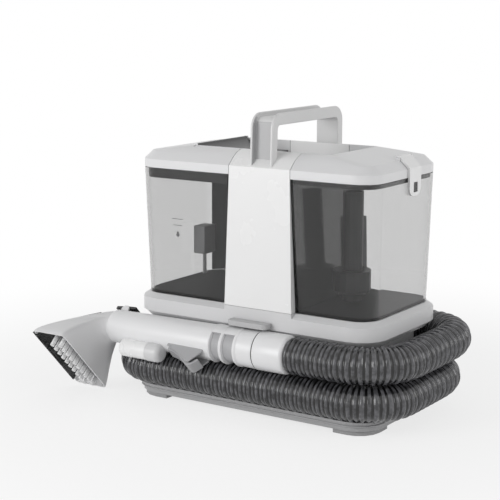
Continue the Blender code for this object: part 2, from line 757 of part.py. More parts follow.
def make_deck():
    def deck_loop(z, inset):
        return level(outline(inset - DECK_HALF_LENGTH, DECK_HALF_LENGTH - inset,
                             inset - DECK_HALF_DEPTH, DECK_HALF_DEPTH - inset,
                             (DECK_CORNER - inset,) * 4), z)
    length = TANK_BOTTOM_HALF_LENGTH + LEDGE_MARGIN
    depth = TANK_BOTTOM_HALF_DEPTH + LEDGE_MARGIN
    ledge = level(outline(-length, length, -depth, depth,
                          (TANK_BOTTOM_CORNER + LEDGE_MARGIN,) * 4), DECK_TOP)
    skirt_base = DECK_BASE - SKIRT_DROP
    deck = add("deck", loft([deck_loop(skirt_base, SKIRT_SETBACK + SKIRT_DROP),
                             deck_loop(DECK_BASE, SKIRT_SETBACK), deck_loop(DECK_BASE, 0),
                             deck_loop(DECK_TOP - LEDGE_HEIGHT, 0), ledge]), grey(0xD2), 0.35)
    left = COLUMN_CENTRE - COLUMN_BOTTOM_HALF
    right = COLUMN_CENTRE + COLUMN_BOTTOM_HALF
    column_seat = block((left, -DECK_HALF_DEPTH, DECK_BASE), (right, DECK_HALF_DEPTH, DECK_TOP))
    combine(deck, shape("column seat", column_seat), "UNION")
    skirt_wall = SKIRT_SETBACK + WALL
    hollow = loft([deck_loop(skirt_base - PAST, skirt_wall + SKIRT_DROP + PAST),
                   deck_loop(DECK_BASE, skirt_wall), deck_loop(DECK_TOP - LEDGE_HEIGHT, WALL),
                   level(outline(WALL - length, length - WALL, WALL - depth, depth - WALL,
                                 (TANK_BOTTOM_CORNER + LEDGE_MARGIN - WALL,) * 4),
                         DECK_TOP - WALL)])
    combine(deck, shape("deck hollow", hollow))
    for name, x, y, pipe in (("clean port", VALVE_X, VALVE_Y, SPOUT_RADIUS),
                             ("dirty port", STANDPIPE_X, STANDPIPE_Y, STANDPIPE_RADIUS)):
        hole = turned(disc(pipe + SLIP + SEAT_WIDTH + GAP, DECK_BASE, DECK_TOP + PAST),
                      place=(x, y, 0))
        combine(deck, shape(name, hole))
    for name, x, y, pipe in (("clean_dock_seat", VALVE_X, VALVE_Y, SPOUT_RADIUS),
                             ("dirty_dock_seal", STANDPIPE_X, STANDPIPE_Y, STANDPIPE_RADIUS)):
        ring = sleeve(pipe + SLIP + SEAT_WIDTH, pipe + SLIP, DECK_TOP - SPOUT_DROP, DECK_TOP - GAP)
        add(name, turned(ring, place=(x, y, 0)), grey(0x28), 0.8)

    shelf = outline(REST_LEFT, REST_RIGHT, -DECK_HALF_DEPTH - REST_REACH, -DECK_HALF_DEPTH - GAP,
                    (REST_CORNER, REST_CORNER, 0, 0))
    add("wand_rest", prism(shelf, "z", REST_BOTTOM, REST_BOTTOM + REST_THICKNESS), grey(0xC8), 0.4)


# ================================================================== column and handle
def make_column():
    foot = DECK_TOP + GAP
    below = [level(outline(COLUMN_CENTRE - column_half(foot), COLUMN_CENTRE + column_half(foot),
                           -column_depth(foot), column_depth(foot), (0, 0, 0, 0)), foot)]
    inner = [level(outline(COLUMN_CENTRE - column_half(foot) + WALL,
                           COLUMN_CENTRE + column_half(foot) - WALL,
                           WALL - column_depth(foot), column_depth(foot) - WALL,
                           (0, 0, 0, 0)), foot - PAST)]
    hollow = shape("column hollow", loft(inner + roof(0, WALL, WALL)))
    combine(hollow, recess("column recess wall", WALL))
    opening = column_depth(foot) - SIDE_RETURN
    eaves = LID_BASE - GAP

    front = add("column_front", loft(below + roof(0)), grey(0xE8), 0.3)
    combine(front, hollow)
    combine(front, recess("column recess"))
    combine(front, shape("open back", block((-FAR_AWAY, -opening, 0), (FAR_AWAY, FAR_AWAY, eaves))))
    for side in (-1, 1):
        for z in (BOARD_BOTTOM + PAST, BOARD_BOTTOM + BOARD_HEIGHT - PAST):
            x = COLUMN_CENTRE + side * (BOARD_WIDTH / 2 - PAST)
            post = turned(disc(BOARD_POST_RADIUS, WALL / 2 - column_depth(z), BOARD_Y - GAP),
                          sides=SMALL_STEPS, place=(x, 0, z), axis="y")
            combine(front, shape("board post", post), "UNION")

    rear_top = [level(outline(COLUMN_CENTRE - column_half(eaves), COLUMN_CENTRE + column_half(eaves),
                              -column_depth(eaves), column_depth(eaves), (0, 0, 0, 0)), eaves)]
    rear = add("column_rear", loft(below + rear_top), grey(0xDC), 0.35)
    combine(rear, hollow)
    combine(rear, shape("open front", block((-FAR_AWAY, -FAR_AWAY, 0), (FAR_AWAY, opening, FAR_AWAY))))
    button_y = column_depth(BUTTON_HEIGHT)
    combine(rear, shape("button hole", turned(
        disc(BUTTON_RADIUS + SLIP, button_y - 2 * WALL, button_y + WALL), axis="y",
        place=(COLUMN_CENTRE, 0, BUTTON_HEIGHT))))
    inlet_y = column_depth(INLET_HEIGHT)
    combine(rear, shape("inlet hole", turned(
        disc(INLET_RADIUS + GAP, inlet_y - 2 * WALL, inlet_y + WALL), axis="y",
        place=(COLUMN_CENTRE, 0, INLET_HEIGHT))))

    panels = {}
    for name, side in (("column_side_left", -1), ("column_side_right", 1)):
        loops = []
        for z in (foot, eaves):
            outer = COLUMN_CENTRE + side * column_half(z)
            edges = sorted((outer, outer - side * SIDE_PANEL))
            loops.append(level(outline(*edges, GAP - opening, opening - GAP, (0, 0, 0, 0)), z))
        panels[side] = add(name, loft(loops), grey(0x4A), 0.4)
    make_screws(rear, panels)


def make_screws(rear, panels):
    """Screws hold the rear cover to bosses on the two side panels."""
    number = 0
    for side in (-1, 1):
        x = COLUMN_CENTRE + side * (COLUMN_TOP_HALF - SCREW_INSET)
        for z in (SCREW_LOW, SCREW_HIGH):
            number += 1
            outside = column_depth(z)
            edges = sorted((x - side * BOSS_HALF, COLUMN_CENTRE + side * (column_half(z) - GAP)))
            boss = block((edges[0], outside - BOSS_LENGTH, z - BOSS_HALF),
                         (edges[1], outside - WALL - 2 * GAP, z + BOSS_HALF))
            wall_room = WALL + GAP
            trim_low = edges[0] if side < 0 else edges[1] - wall_room
            trim = block((trim_low, outside - SIDE_RETURN, z - FAR_AWAY),
                         (trim_low + wall_room, FAR_AWAY, z + FAR_AWAY))
            boss_tool = shape("screw boss", boss)
            combine(panels[side], boss_tool, "UNION")
            hole = shape("screw hole", turned(
                disc(SCREW_SHANK_RADIUS + GAP, outside - BOSS_LENGTH - PAST, outside + WALL),
                sides=SMALL_STEPS, axis="y", place=(x, 0, z)))
            combine(panels[side], shape("return room", trim))
            combine(panels[side], hole)
            combine(rear, hole)
            head = outside + 2 * GAP
            add(f"rear_screw_{number}", turned(
                ((0, head - SCREW_LENGTH), (SCREW_SHANK_RADIUS, head - SCREW_LENGTH),
                 (SCREW_SHANK_RADIUS, head), (SCREW_HEAD_RADIUS, head),
                 (SCREW_HEAD_RADIUS, head + SCREW_HEAD / 2),
                 (SCREW_HEAD_RADIUS * 0.7, head + SCREW_HEAD), (0, head + SCREW_HEAD)),
                sides=SMALL_STEPS, axis="y", place=(x, 0, z)), grey(0x90), 0.3, 1.0)


def make_handle():
    """An arch over the column, with an open pocket in the outer face of each leg."""
    front = HANDLE_FRONT
    back = HANDLE_BACK
    bar = HANDLE_TOP - HANDLE_BAR
    foot = LID_BASE
    outer = [(front - HANDLE_LEAN, foot)]
    outer += arc(front + HANDLE_CORNER, HANDLE_TOP - HANDLE_CORNER, HANDLE_CORNER, 180, 90)
    outer += arc(back - HANDLE_CORNER, HANDLE_TOP - HANDLE_CORNER, HANDLE_CORNER, 90, 0)
    outer += [(back, foot)]
    near = front + HANDLE_LEG
    far = back - HANDLE_LEG
    corner = HANDLE_INNER_CORNER
    inner = [(far, foot)] + arc(far - corner, bar - corner, corner, 0, 90)
    inner += arc(near + corner, bar - corner, corner, 90, 180) + [(near - HANDLE_LEAN, foot)]
    left = COLUMN_CENTRE + HANDLE_OFFSET - HANDLE_WIDTH / 2
    right = left + HANDLE_WIDTH
    handle = add("handle", prism(outer + inner, "x", left, right), grey(0xD8), 0.35)
    top = HANDLE_TOP - HANDLE_BAR
    pocket = outline(left + HANDLE_FLANGE, right - HANDLE_FLANGE, foot - PAST, top,
                     (0, 0, POCKET_CORNER, POCKET_CORNER))
    combine(handle, shape("front pocket", prism(pocket, "y", 2 * front, front + HANDLE_POCKET)))
    combine(handle, shape("back pocket", prism(pocket, "y", back - HANDLE_POCKET, 2 * back)))
    combine(handle, shape("column room", loft(roof(0, -GAP, -GAP, foot - PAST))))


# ================================================================== tanks
def make_tank(name, side, colour):
    floor = level(tank_outline(side, TANK_INSIDE, TANK_WALL), TANK_INSIDE)
    return add(name, loft([
        level(tank_outline(side, TANK_BASE), TANK_BASE),
        level(tank_outline(side, TANK_TOP), TANK_TOP),
        level(tank_outline(side, TANK_TOP, TANK_WALL), TANK_TOP), floor]), colour, 0.12)


def make_seal(name, side, height):
    inset = TANK_WALL + SEAL_INSET
    low = TANK_TOP - height
    add(name, loft([
        level(tank_outline(side, low, inset), low), level(tank_outline(side, TANK_TOP, inset),
                                                          TANK_TOP),
        level(tank_outline(side, TANK_TOP, inset + SEAL_WIDTH), TANK_TOP),
        level(tank_outline(side, low, inset + SEAL_WIDTH), low)], ring=True), grey(0x38), 0.7)


def make_lid(name, side):
    lid = add(name, loft(roof(side)), grey(0xE2), 0.3)
    hollow = shape(f"{name} hollow", loft(roof(side, LID_RIM, WALL, LID_BASE - PAST)))
    combine(hollow, recess(f"{name} recess wall", WALL))
    combine(lid, recess(f"{name} recess"))
    combine(lid, hollow)
    return lid


def make_clean_tank():
    tank = make_tank("clean_tank", -1, grey(0xB4))
    hole = turned(disc(SPOUT_RADIUS + GAP, TANK_BASE - PAST, TANK_INSIDE + PAST),
                  place=(VALVE_X, VALVE_Y, 0))
    combine(tank, shape("spout hole", hole))
    base = TANK_INSIDE + GAP
    flange = SPOUT_RADIUS + FLANGE_WIDTH
    low = DECK_TOP - SPOUT_DROP
    add("clean_valve", turned(
        ((SPOUT_BORE, low), (SPOUT_RADIUS, low), (SPOUT_RADIUS, base), (flange, base),
         (flange, base + FLANGE_THICKNESS), (SPOUT_BORE, base + FLANGE_THICKNESS)),
        place=(VALVE_X, VALVE_Y, 0)), grey(0x40), 0.5)

    def liner_loop(z):
        outer = tank_outline(-1, z, TANK_WALL + LINER_GAP)
        inner = tank_outline(-1, z, TANK_WALL + LINER_GAP + LINER_THICKNESS)
        back = ARC_STEPS + 2
        return level(outer[back:-1] + inner[back:-1][::-1], z)
    add("clean_tank_liner", loft([liner_loop(base), liner_loop(LINER_TOP)]), grey(0x44), 0.4)

    end = tank_half_length(FILTER_BASE) - TANK_WALL - FILTER_ROOM
    filter_x = FILTER_HALF_WIDTH - end
    bevelled(add("water_filter", block(
        (-end, FILTER_Y - FILTER_HALF_DEPTH, FILTER_BASE),
        (2 * FILTER_HALF_WIDTH - end, FILTER_Y + FILTER_HALF_DEPTH,
         FILTER_BASE + FILTER_HEIGHT)), grey(0x80), 0.5), FILTER_EDGE)
    add("pickup_tube", turned(disc(PICKUP_RADIUS, base, FILTER_BASE - GAP), sides=SMALL_STEPS,
                              place=(filter_x, FILTER_Y, 0)), grey(0x9A), 0.4)


def make_clean_lid():
    lid = make_lid("clean_tank_lid", -1)
    make_seal("clean_lid_seal", -1, CLEAN_SEAL_HEIGHT)
    mouth = outline(MOUTH_LEFT, MOUTH_RIGHT, -MOUTH_HALF_DEPTH, MOUTH_HALF_DEPTH,
                    (MOUTH_CORNER,) * 4)
    combine(lid, shape("fill mouth", prism(mouth, "z", LID_BASE - PAST, RIDGE_TOP + PAST)))

    hinge = (FLAP_HINGE_X, 0, RIDGE_TOP - GAP)
    front = RIDGE_FRONT + RECESS_MARGIN
    back = RIDGE_BACK - RECESS_MARGIN
    for y in (front - LUG_WIDTH, back):
        lug = block((hinge[0] - KNUCKLE_RADIUS, y, RECESS_FLOOR + LUG_ROOT),
                    (hinge[0] + KNUCKLE_RADIUS, y + LUG_WIDTH, hinge[2] + KNUCKLE_RADIUS))
        combine(lid, shape("hinge lug", lug), "UNION")
    pocket = disc(KNUCKLE_RADIUS + 2 * GAP, front, back)
    combine(lid, shape("knuckle room", turned(pocket, axis="y", place=hinge)))
    pin_hole = shape("flap pin hole", turned(
        disc(HINGE_PIN_RADIUS + GAP, front - PAST, back + PAST), sides=SMALL_STEPS, axis="y", place=hinge))
    combine(lid, pin_hole)
    add("flap_pin", turned(disc(HINGE_PIN_RADIUS, front - LUG_WIDTH, back + LUG_WIDTH),
                           sides=SMALL_STEPS, axis="y", place=hinge), grey(0x90), 0.3, 1.0)

    knuckle = arc(hinge[0], hinge[2], KNUCKLE_RADIUS, -60, -340, 10)
    rim = RIDGE_HALF_LENGTH - RECESS_MARGIN
    steps = [RECESS_RAMP * i / RAMP_STEPS - rim for i in range(1, RAMP_STEPS + 1)] + [FLAP_END]
    under = [(x, ramp_height(x) + GAP) for x in reversed(steps)]
    over = [(x, ramp_height(x) + GAP + FLAP_THICKNESS) for x in steps]
    flap = add("fill_flap", prism(under + knuckle + over, "y", front + 3 * GAP, back - 3 * GAP),
               grey(0x30), 0.15)
    combine(flap, pin_hole)
    pivot(flap, hinge)


def make_dirty_tank():
    tank = make_tank("dirty_tank", 1, grey(0x90))
    wall = COLUMN_CENTRE + COLUMN_BOTTOM_HALF + TANK_WALL / 2
    boss = [(wall, STANDPIPE_Y + BOSS_RADIUS)]
    boss += arc(BOSS_X, STANDPIPE_Y, BOSS_RADIUS, 90, -90, 2 * ARC_STEPS)
    boss += [(wall, STANDPIPE_Y - BOSS_RADIUS)]
    boss_top = TANK_INSIDE + BOSS_HEIGHT
    combine(tank, shape("standpipe boss", prism(boss, "z", TANK_BASE + TANK_FLOOR / 2, boss_top)),
            "UNION")
    hole = turned(disc(STANDPIPE_RADIUS + GAP, TANK_BASE - PAST, boss_top + PAST),
                  place=(STANDPIPE_X, STANDPIPE_Y, 0))
    combine(tank, shape("standpipe hole", hole))

    low = DECK_TOP - SPOUT_DROP
    base = boss_top + GAP
    flange = STANDPIPE_RADIUS + FLANGE_WIDTH
    top = base + FLANGE_THICKNESS
    add("standpipe", turned(
        ((STANDPIPE_BORE, low), (STANDPIPE_RADIUS, low), (STANDPIPE_RADIUS, base), (flange, base),
         (flange, top), (STANDPIPE_RADIUS, top), (STANDPIPE_RADIUS, STANDPIPE_TOP),
         (STANDPIPE_BORE, STANDPIPE_TOP)), place=(STANDPIPE_X, STANDPIPE_Y, 0)), grey(0x70), 0.3)
    rest = top + FLOAT_REST
    ring = sleeve(STANDPIPE_RADIUS + SLIP + FLOAT_WIDTH, STANDPIPE_RADIUS + SLIP,
                  rest, rest + FLOAT_HEIGHT)
    pivot(add("float", turned(ring, place=(STANDPIPE_X, STANDPIPE_Y, 0)), grey(0x48), 0.4),
          (STANDPIPE_X, STANDPIPE_Y, rest))

    def duct_loop(z, inset):
        near = COLUMN_CENTRE + column_half(z) + TANK_WALL + 3 * GAP
        return level(outline(near + inset, near + DUCT_WIDTH - inset, DUCT_FRONT + inset,
                             DUCT_BACK - inset, (0, DUCT_CORNER - inset, DUCT_CORNER - inset, 0)),
                     z)
    foot = TANK_INSIDE + GAP
    add("inlet_duct", loft([duct_loop(foot, 0), duct_loop(DUCT_TOP, 0),
                            duct_loop(DUCT_TOP, DUCT_WALL), duct_loop(foot, DUCT_WALL)],
                           ring=True), grey(0x70), 0.3)


def make_dirty_lid():
    lid = make_lid("dirty_tank_lid", 1)
    make_seal("dirty_lid_seal", 1, DIRTY_SEAL_HEIGHT)
    hinge = (LATCH_HINGE_X, LATCH_CENTRE, CHAMFER_TOP + KNUCKLE_RADIUS + 2 * GAP)
    front = LATCH_CENTRE - LATCH_WIDTH / 2
    back = LATCH_CENTRE + LATCH_WIDTH / 2
    for y in (front - GAP - LATCH_LUG, back + GAP):
        lug = block((hinge[0] - KNUCKLE_RADIUS, y, CHAMFER_TOP - WALL / 2),
                    (hinge[0] + KNUCKLE_RADIUS, y + LATCH_LUG, hinge[2] + KNUCKLE_RADIUS))
        combine(lid, shape("latch lug", lug), "UNION")
    reach = LATCH_WIDTH / 2 + GAP + LATCH_LUG
    pin_hole = shape("latch pin hole", turned(
        disc(HINGE_PIN_RADIUS + GAP, -reach - PAST, reach + PAST), sides=SMALL_STEPS, axis="y",
        place=hinge))
    combine(lid, pin_hole)
    add("latch_pin", turned(disc(HINGE_PIN_RADIUS, -reach, reach), sides=SMALL_STEPS, axis="y",
                            place=hinge), grey(0x90), 0.3, 1.0)

    slope = math.hypot(CHAMFER, CHAMFER_RISE)
    out = Vector((CHAMFER_RISE / slope, CHAMFER / slope))
    foot = LID_BASE - LATCH_DROP
    face = max(LID_HALF_LENGTH, tank_half_length(foot)) + GAP
    top = Vector((LID_HALF_LENGTH - CHAMFER, CHAMFER_TOP)) + out * GAP
    over = top + out * LATCH_THICKNESS
    strap = [(face, foot), (face + LATCH_THICKNESS, foot),
             (face + LATCH_THICKNESS, BAND_TOP + LATCH_THICKNESS * math.tan(math.pi / 8)),
             tuple(over)]
    strap += arc(hinge[0], hinge[2], KNUCKLE_RADIUS, 10, 300, 8)
    strap += [tuple(top), (face, BAND_TOP)]
    latch = add("lid_latch", prism(strap, "y", front, back), grey(0xE4), 0.3)
    combine(latch, pin_hole)
    low = foot + CATCH_BOTTOM
    window = block((face - PAST, CATCH_CENTRE - CATCH_WIDTH / 2, low),
                   (face + PAST, CATCH_CENTRE + CATCH_WIDTH / 2, low + CATCH_HEIGHT))
    combine(latch, shape("catch window", window))
    pivot(latch, hinge)
    add("latch_catch", block(
        (face + GAP, CATCH_CENTRE - CATCH_WIDTH / 2 + GAP, low + GAP),
        (face + LATCH_THICKNESS - 3 * GAP, CATCH_CENTRE + CATCH_WIDTH / 2 - GAP,
         low + CATCH_HEIGHT - GAP)), grey(0x30), 0.5)


# ================================================================== inside the column
def make_fan_and_motor():
    place = (COLUMN_CENTRE, MOTOR_Y, 0)
    base = DECK_TOP + GAP
    top = base + FAN_HEIGHT
    add("fan_housing", turned(
        ((0, base), (FAN_RADIUS, base), (FAN_RADIUS, top), (FAN_EYE_RADIUS, top),
         (FAN_EYE_RADIUS, top - FAN_WALL), (FAN_RADIUS - FAN_WALL, top - FAN_WALL),
         (FAN_RADIUS - FAN_WALL, base + FAN_WALL), (0, base + FAN_WALL)),
        place=place), grey(0x50), 0.5)

    disc_low = base + FAN_WALL + IMPELLER_LIFT
    disc_top = disc_low + DISC_THICKNESS
    hub_top = disc_low + IMPELLER_HEIGHT
    impeller = add("impeller", turned(
        ((SHAFT_RADIUS + GAP, disc_low), (IMPELLER_RADIUS, disc_low), (IMPELLER_RADIUS, disc_top),
         (HUB_RADIUS, disc_top), (HUB_RADIUS, hub_top), (SHAFT_RADIUS + GAP, hub_top)),
        place=place), grey(0x30), 0.4)
    blades = bmesh.new()
    for i in range(IMPELLER_BLADES):
        turn = Matrix.Rotation(math.tau * i / IMPELLER_BLADES, 4, "Z")
        start = len(blades.verts)
        bmesh.ops.create_cube(blades, size=1)
        blades.verts.ensure_lookup_table()
        span = IMPELLER_RADIUS - HUB_RADIUS
        bmesh.ops.transform(blades, verts=blades.verts[start:], matrix=(
            Matrix.Translation(place) @ turn
            @ Matrix.Translation((HUB_RADIUS + span / 2 - BLADE_THICKNESS, 0,
                                  (disc_low + hub_top) / 2))
            @ Matrix.Diagonal((span, BLADE_THICKNESS, IMPELLER_HEIGHT - DISC_THICKNESS, 1))))
    combine(impeller, shape("impeller blades", blades), "UNION")
    pivot(impeller, (COLUMN_CENTRE, MOTOR_Y, disc_low))

    body = top + GAP
    body_top = body + MOTOR_HEIGHT
    add("vacuum_motor", turned(
        ((0, disc_low), (SHAFT_RADIUS, disc_low), (SHAFT_RADIUS, body), (MOTOR_RADIUS, body),
         (MOTOR_RADIUS, body_top), (MOTOR_NECK_RADIUS, body_top),
         (MOTOR_NECK_RADIUS, body_top + FAN_WALL * 4), (0, body_top + FAN_WALL * 4)),
        place=place), grey(0x80), 0.35, 0.8)


def make_pump_and_board():
    base = DECK_TOP + GAP
    bevelled(add("pump", block(
        (COLUMN_CENTRE - PUMP_WIDTH / 2, PUMP_Y - PUMP_DEPTH / 2, base),
        (COLUMN_CENTRE + PUMP_WIDTH / 2, PUMP_Y + PUMP_DEPTH / 2, base + PUMP_HEIGHT)),
        grey(0x38), 0.5), PUMP_EDGE)
    add("control_board", block(
        (COLUMN_CENTRE - BOARD_WIDTH / 2, BOARD_Y, BOARD_BOTTOM),
        (COLUMN_CENTRE + BOARD_WIDTH / 2, BOARD_Y + BOARD_THICKNESS,
         BOARD_BOTTOM + BOARD_HEIGHT)), (0.02, 0.11, 0.05, 1.0), 0.5)


def make_rear_fittings():
    outer = column_depth(BUTTON_HEIGHT)
    inner = column_depth(BUTTON_HEIGHT + BUTTON_RADIUS + BUTTON_RIM) - WALL - GAP
    button = add("power_button", turned(
        ((0, inner - BUTTON_RIM), (BUTTON_RADIUS + BUTTON_RIM, inner - BUTTON_RIM),
         (BUTTON_RADIUS + BUTTON_RIM, inner), (BUTTON_RADIUS, inner),
         (BUTTON_RADIUS, outer + BUTTON_PROUD / 2),
         (BUTTON_RADIUS - BUTTON_PROUD / 2, outer + BUTTON_PROUD), (0, outer + BUTTON_PROUD)),
        axis="y", place=(COLUMN_CENTRE, 0, BUTTON_HEIGHT)), grey(0x38), 0.4)
    pivot(button, (COLUMN_CENTRE, outer, BUTTON_HEIGHT))
    outer = column_depth(INLET_HEIGHT)
    lip = column_depth(INLET_HEIGHT - INLET_RADIUS - FLANGE_THICKNESS) + GAP
    add("cord_inlet", turned(
        ((INLET_BORE, outer - 2 * WALL), (INLET_RADIUS, outer - 2 * WALL), (INLET_RADIUS, lip),
         (INLET_RADIUS + FLANGE_THICKNESS, lip), (INLET_RADIUS + FLANGE_THICKNESS, lip + WALL),
         (INLET_RADIUS, lip + INLET_LENGTH), (INLET_BORE, lip + INLET_LENGTH)),
        sides=SMALL_STEPS, axis="y", place=(COLUMN_CENTRE, 0, INLET_HEIGHT)), grey(0x2C), 0.7)


# ================================================================== wand
def tube_radius(x):
    """Outside of the wand's tube, which tapers from the grip to its tip."""
    return mix(GRIP_RADIUS, WAND_TIP_RADIUS, (GRIP_START - x) / (GRIP_START - WAND_TIP))


def make_wand_frame():
    frame = bpy.data.objects.new("wand_frame", None)
    bpy.context.collection.objects.link(frame)
    frame.location = (0, WAND_Y, WAND_Z)
    frame.rotation_euler = (WAND_ROLL, 0, 0)
    return frame


def make_wand(frame):
    """Everything on the wand is modelled about its own X axis, with -Z towards the carpet."""
    made = set(bpy.data.objects)
    collar_start = COLLAR_END - COLLAR_LENGTH
    add("hose_collar", turned(
        ((HOSE_BORE, collar_start + GAP), (COLLAR_RADIUS, collar_start + GAP),
         (COLLAR_RADIUS, COLLAR_END - COLLAR_LIP), (GRIP_RADIUS, COLLAR_END),
         (HOSE_BORE, COLLAR_END)), axis="x"), grey(0xD0), 0.35)

    sleeve_points = [(GRIP_NECK + GAP, GRIP_START + GAP), (GRIP_RADIUS, GRIP_START + GAP)]
    for low, high in GRIP_GROOVES:
        floor = GRIP_RADIUS - GRIP_GROOVE
        sleeve_points += [(GRIP_RADIUS, GRIP_START + low), (floor, GRIP_START + low),
                          (floor, GRIP_START + high), (GRIP_RADIUS, GRIP_START + high)]
    sleeve_points += [(GRIP_RADIUS, collar_start - GAP), (GRIP_NECK + GAP, collar_start - GAP)]
    add("wand_grip", turned(sleeve_points, axis="x"), grey(0xA6), 0.5)

    body = add("wand_body", turned(
        ((WAND_BORE, WAND_TIP + SPIGOT_LENGTH + PAST), (SPIGOT_RADIUS + GAP,
                                                        WAND_TIP + SPIGOT_LENGTH + GAP),
         (SPIGOT_RADIUS + GAP, WAND_TIP), (WAND_TIP_RADIUS, WAND_TIP), (GRIP_RADIUS, GRIP_START),
         (GRIP_NECK, GRIP_START), (GRIP_NECK, collar_start - GAP),
         (WAND_BORE, collar_start - GAP)), axis="x"), grey(0xDC), 0.3)
    cheek = TRIGGER_HALF_WIDTH + GAP + LUG_THICKNESS
    lugs = block((TRIGGER_PIVOT - LUG_LENGTH / 2, -cheek, -LUG_DROP),
                 (TRIGGER_PIVOT + LUG_LENGTH / 2, cheek, -WAND_BORE - WALL / 2))
    combine(body, shape("trigger lugs", lugs), "UNION")
    ear = LATCH_HALF_WIDTH + GAP
    ears = block((LATCH_PIVOT - EAR_LENGTH / 2, -ear - EAR_WIDTH, WAND_TIP_RADIUS - WALL / 2),
                 (LATCH_PIVOT + EAR_LENGTH / 2, ear + EAR_WIDTH, LATCH_LIFT + EAR_LENGTH / 2))
    combine(body, shape("latch ears", ears), "UNION")
    width = TRIGGER_HALF_WIDTH + GAP
    slot = block((TRIGGER_PIVOT - LUG_LENGTH, -width, -LUG_DROP - PAST),
                 (GRIP_START - SLOT_END, width, -SLOT_FLOOR))
    combine(body, shape("trigger slot", slot))
    latch_room = block((LATCH_PIVOT - EAR_LENGTH, -ear, WAND_TIP_RADIUS + GAP),
                       (LATCH_PIVOT + EAR_LENGTH, ear, LATCH_LIFT + EAR_LENGTH))
    combine(body, shape("latch room", latch_room))
    pin = turned(disc(TRIGGER_PIN_RADIUS + GAP, -cheek - PAST, cheek + PAST), sides=SMALL_STEPS,
                 axis="y", place=(TRIGGER_PIVOT, 0, -TRIGGER_DROP))
    pin_hole = shape("trigger pin hole", pin)
    combine(body, pin_hole)
    stub_reach = ear + EAR_WIDTH
    combine(body, shape("latch stub hole", turned(
        disc(STUB_RADIUS + GAP, -stub_reach - PAST, stub_reach + PAST), sides=SMALL_STEPS, axis="y",
        place=(LATCH_PIVOT, 0, LATCH_LIFT))))

    profile = [(TRIGGER_PIVOT + x, z - TRIGGER_DROP) for x, z in TRIGGER_PROFILE]
    trigger = add("trigger", prism(profile, "y", -TRIGGER_HALF_WIDTH, TRIGGER_HALF_WIDTH),
                  grey(0xB0), 0.4)
    combine(trigger, pin_hole)
    pivot(trigger, (TRIGGER_PIVOT, 0, -TRIGGER_DROP))
    add("trigger_pin", turned(disc(TRIGGER_PIN_RADIUS, -cheek, cheek), sides=SMALL_STEPS, axis="y",
                              place=(TRIGGER_PIVOT, 0, -TRIGGER_DROP)), grey(0x90), 0.3, 1.0)

    latch_profile = [(LATCH_PIVOT + x, LATCH_LIFT + z) for x, z in LATCH_PROFILE]
    latch = add("nozzle_latch", prism(latch_profile, "y", -LATCH_HALF_WIDTH, LATCH_HALF_WIDTH),
                grey(0x30), 0.4)
    combine(latch, shape("latch stub", turned(disc(STUB_RADIUS, -stub_reach, stub_reach),
                                              sides=SMALL_STEPS, axis="y",
                                              place=(LATCH_PIVOT, 0, LATCH_LIFT))), "UNION")
    pivot(latch, (LATCH_PIVOT, 0, LATCH_LIFT))

    clear = shape("tube room", turned(
        ((0, WAND_TIP), (tube_radius(WAND_TIP) + GAP, WAND_TIP),
         (tube_radius(GRIP_START) + GAP, GRIP_START), (0, GRIP_START)), axis="x"))
    middle = (0, 0, -CANISTER_DROP)
    blunt = CANISTER_RADIUS / 4
    valve = add("spray_valve", turned(
        ((0, CANISTER_START), (CANISTER_RADIUS - blunt, CANISTER_START),
         (CANISTER_RADIUS, CANISTER_START + blunt), (CANISTER_RADIUS, CANISTER_SEAM - GAP),
         (0, CANISTER_SEAM - GAP)), axis="x", place=middle), grey(0xD4), 0.35)
    cap_radius = CANISTER_RADIUS + CAP_PROUD
    cap = add("spray_valve_cap", turned(
        [(0, CANISTER_SEAM), (cap_radius, CANISTER_SEAM)]
        + [(r, x) for x, r in arc(CANISTER_END - cap_radius / 2, cap_radius / 2,
                                  cap_radius / 2, 90, 0)]
        + [(0, CANISTER_END)], axis="x", place=middle), grey(0xB0), 0.35)
    combine(valve, clear)
    combine(cap, clear)
    for item in set(bpy.data.objects) - made:
        item.parent = frame


# ================================================================== nozzle
def hood_point(turn, s, offset):
    """A point of the hood, at a share s of its line from the neck's circle to the mouth's rim."""
    radius = WAND_TIP_RADIUS + offset
    neck = Vector((WAND_TIP - GAP, radius * math.sin(turn), radius * math.cos(turn)))
    power = 2 / MOUTH_SQUARENESS
    along = math.copysign(abs(math.cos(turn)) ** power, math.cos(turn))
    across = math.copysign(abs(math.sin(turn)) ** power, math.sin(turn))
    mouth = Vector((MOUTH_X - along * (MOUTH_HALF_LENGTH + offset),
                    across * (MOUTH_HALF_WIDTH + offset), -MOUTH_DEPTH))
    leave = neck - Vector((NECK_LEAD, 0, 0))
    arrive = mouth + Vector((0, 0, MOUTH_LEAD))
    return (neck * (1 - s) ** 3 + leave * 3 * s * (1 - s) ** 2
            + arrive * 3 * s * s * (1 - s) + mouth * s ** 3)


def hood_turn(side):
    return math.tau * (side + 0.5) / HOOD_SIDES


def hood_section(s, offset):
    """The section grows from the tube's circle to the mouth's rounded rectangle."""
    return [hood_point(hood_turn(i), s, offset) for i in range(HOOD_SIDES)]


def pipe_section(x, radius):
    turns = [hood_turn(i) for i in range(HOOD_SIDES)]
    return [Vector((x, radius * math.sin(turn), radius * math.cos(turn))) for turn in turns]


def window_row(s):
    """One row of the window, which lies on the three facets of the hood's far face."""
    turns = [hood_turn(side) for side in (-2, -1, 0, 1)]
    near = [hood_point(turn, s, WINDOW_GAP) for turn in turns]
    far = [hood_point(turn, s, WINDOW_GAP + WINDOW_THICKNESS) for turn in turns]
    return near + far[::-1]


